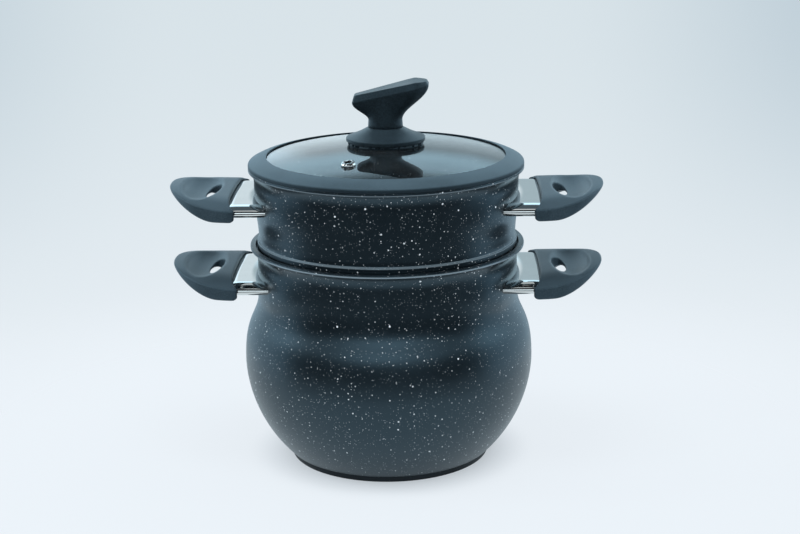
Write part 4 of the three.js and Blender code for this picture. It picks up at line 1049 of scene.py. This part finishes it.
def pale_table():
    """A pale finish that is lifted to the backdrop's tone away from the shadow, and fades out at the rim."""
    material, tree, shader, where = new_finish("pale table", Roughness=0.7, Specular_IOR_Level=0.1)
    cloud = noise(tree, where, 3.0)
    fill(tree, shader.inputs["Base Color"], blend(tree, cloud, (0.78, 0.83, 0.875, 1), (0.81, 0.86, 0.9, 1)))
    ray = put(tree, "ShaderNodeLightPath").outputs
    tone = blend(tree, ray["Is Glossy Ray"], PALE, PALE_MIRRORED)
    glow = put(tree, "ShaderNodeEmission", {"Color": tone}).outputs[0]
    mirrored = maths(tree, "MAXIMUM", ray["Is Glossy Ray"], ray["Is Transmission Ray"])
    seen = maths(tree, "MAXIMUM", ray["Is Camera Ray"], mirrored)
    away = put(tree, "ShaderNodeVectorMath", {0: where}, operation="LENGTH").outputs["Value"]
    share = maths(tree, "MULTIPLY", seen, ramp(tree, away, *SHADOW_END, 0.45, 0.9))
    lifted = put(tree, "ShaderNodeMixShader", {0: share, 1: shader.outputs[0], 2: glow})
    clear = put(tree, "ShaderNodeBsdfTransparent").outputs[0]
    gone = ramp(tree, away, FADE_START, FADE_END)
    faded = put(tree, "ShaderNodeMixShader", {0: gone, 1: lifted.outputs[0], 2: clear})
    fill(tree, tree.nodes["Material Output"].inputs["Surface"], faded.outputs[0])
    return material


def table_top():
    """A round table top, in rings."""
    turn = np.linspace(0, 2 * math.pi, TABLE_SIDES, endpoint=False)
    points = [(0, 0, 0)] + [(r * math.cos(t), r * math.sin(t), 0) for r in TABLE_RINGS for t in turn]
    faces = [(0, 1 + i, 1 + (i + 1) % TABLE_SIDES) for i in range(TABLE_SIDES)]
    for ring in range(len(TABLE_RINGS) - 1):
        faces += strip(1 + (ring + 1) * TABLE_SIDES, 1 + ring * TABLE_SIDES, TABLE_SIDES)
    return mesh_piece("table", points, faces, pale_table())


table_top()
print("table:", TABLE_RINGS[-1], "mm in radius")


# %% Backdrop and room
def pale_backdrop(tree, across, up):
    """What the camera sees: a pale sweep, darker above and in the upper corners."""
    sweep = blend(tree, ramp(tree, up, -0.4, -0.1), (0.83, 0.885, 0.935, 1), (0.69, 0.77, 0.815, 1))
    aside = maths(tree, "ABSOLUTE", maths(tree, "ADD", across, 0.05))
    corner = maths(tree, "MULTIPLY", ramp(tree, aside, 0.1, 0.3), ramp(tree, up, -0.3, -0.1))
    return blend(tree, corner, sweep, (0.5, 0.6, 0.67, 1))


def room_walls(tree, across, wide, up):
    """Walls behind and beside the object, brighter higher up, under a dark ceiling with a pale middle."""
    back = blend(tree, ramp(tree, across, -0.1, 0.01), (0.79, 0.94, 1.02, 1), (0.46, 0.6, 0.67, 1))
    bright = maths(tree, "MULTIPLY", ramp(tree, wide, 0.13, 0.19), ramp(tree, up, -0.05, 0.1))
    back = blend(tree, bright, back, (1.15, 1.5, 1.72, 1))
    upper = blend(tree, ramp(tree, across, -0.2, 0.2), (1.2, 1.74, 2.05, 1), (1.02, 1.54, 1.84, 1))
    walls = blend(tree, ramp(tree, up, 0.26, 0.42), back, upper)
    sides = blend(tree, ramp(tree, up, 0.1, 0.3), (0.72, 1.0, 1.19, 1), (1.35, 1.9, 2.2, 1))
    walls = blend(tree, ramp(tree, wide, 0.14, 0.4), walls, sides)
    walls = blend(tree, ramp(tree, up, 0.5, 0.62), walls, (0.09, 0.125, 0.15, 1))
    return blend(tree, ramp(tree, up, 0.965, 0.99), walls, (0.8, 0.88, 0.92, 1))


def mirrored_room(tree, across, depth, up):
    """What shiny faces mirror: the walls, the dark front with its long light, and a pale floor."""
    wide = maths(tree, "ABSOLUTE", across)
    strip = maths(tree, "MULTIPLY", between(tree, up, 0.36, 0.54, 0.08), ramp(tree, wide, 0.15, 0.85, 1.0, 0.25))
    front = blend(tree, strip, (0.025, 0.032, 0.038, 1), (2.3, 2.75, 3.0, 1))
    room = blend(tree, ramp(tree, depth, -0.3, 0.1, 1.0, 0.0), room_walls(tree, across, wide, up), front)
    return blend(tree, ramp(tree, up, -0.65, -0.45, 1.0, 0.0), room, (0.84, 0.93, 1.0, 1))


# %% World
def studio_world():
    """Gives each kind of ray its own surroundings."""
    world = bpy.data.worlds.new("studio")
    bpy.context.scene.world = world
    world.use_nodes = True
    tree = world.node_tree
    tree.nodes.clear()
    look = put(tree, "ShaderNodeTexCoord").outputs["Generated"]
    across, depth, up = put(tree, "ShaderNodeSeparateXYZ", {0: look}).outputs
    backdrop = pale_backdrop(tree, across, up)
    soft = blend(tree, ramp(tree, up, -0.25, 0.1), (0.46, 0.5, 0.53, 1), (0.78, 0.84, 0.885, 1))
    through = blend(tree, ramp(tree, up, 0.1, 0.35), backdrop, (0.16, 0.22, 0.26, 1))
    ray = put(tree, "ShaderNodeLightPath").outputs
    colour = blend(tree, ray["Is Glossy Ray"], soft, mirrored_room(tree, across, depth, up))
    colour = blend(tree, ray["Is Transmission Ray"], colour, through)
    colour = blend(tree, ray["Is Camera Ray"], colour, backdrop)
    light = put(tree, "ShaderNodeBackground", {"Color": colour}).outputs[0]
    put(tree, "ShaderNodeOutputWorld", {"Surface": light})
    return world


print("world:", studio_world().name)


# %% Lamps
LAMP_WHITE, AIM = (0.9, 0.96, 1.0), (0, 0, 0.2)


def softbox(name, place, size, power):
    """An area lamp in metres and watts, turned towards the object."""
    light = bpy.data.lights.new(name, "AREA")
    light.shape = "RECTANGLE"
    light.size, light.size_y = size
    light.energy = power
    light.color = LAMP_WHITE
    lamp = link(bpy.data.objects.new(name, light))
    lamp.location = place
    lamp.rotation_euler = (Vector(AIM) - Vector(place)).to_track_quat("-Z", "Y").to_euler()
    print(name, power, "W")
    return lamp


overhead = softbox("top softbox", (-0.1, -0.25, 1.8), (0.8, 0.5), 11)
overhead.visible_glossy = False
softbox("left softbox", (-1.5, -0.1, 1.2), (0.35, 0.8), 6)
softbox("right softbox", (1.5, -0.1, 1.2), (0.35, 0.8), 1.5)


# %% Camera
SENSOR, LENS = 36.0, 78.75
STANDPOINT, TURN, LOOK_DOWN, ROLL = (0.0116, -1.58, 0.608), 1.8, 15.24, -0.75


def take_view():
    """The photograph's view, in metres and degrees."""
    lens = bpy.data.cameras.new("view")
    lens.sensor_width, lens.lens = SENSOR, LENS
    camera = link(bpy.data.objects.new("view", lens))
    turn = Matrix.Rotation(math.radians(TURN), 4, "Z")
    pitch = Matrix.Rotation(math.radians(90 - LOOK_DOWN), 4, "X")
    roll = Matrix.Rotation(math.radians(ROLL), 4, "Z")
    camera.matrix_world = turn @ Matrix.Translation(STANDPOINT) @ pitch @ roll
    bpy.context.scene.camera = camera
    print("camera:", LENS, "mm lens, looking down", LOOK_DOWN, "degrees")


take_view()
bpy.context.scene.view_settings.view_transform = "Standard"

# %% Update the scene
bpy.context.view_layer.update()
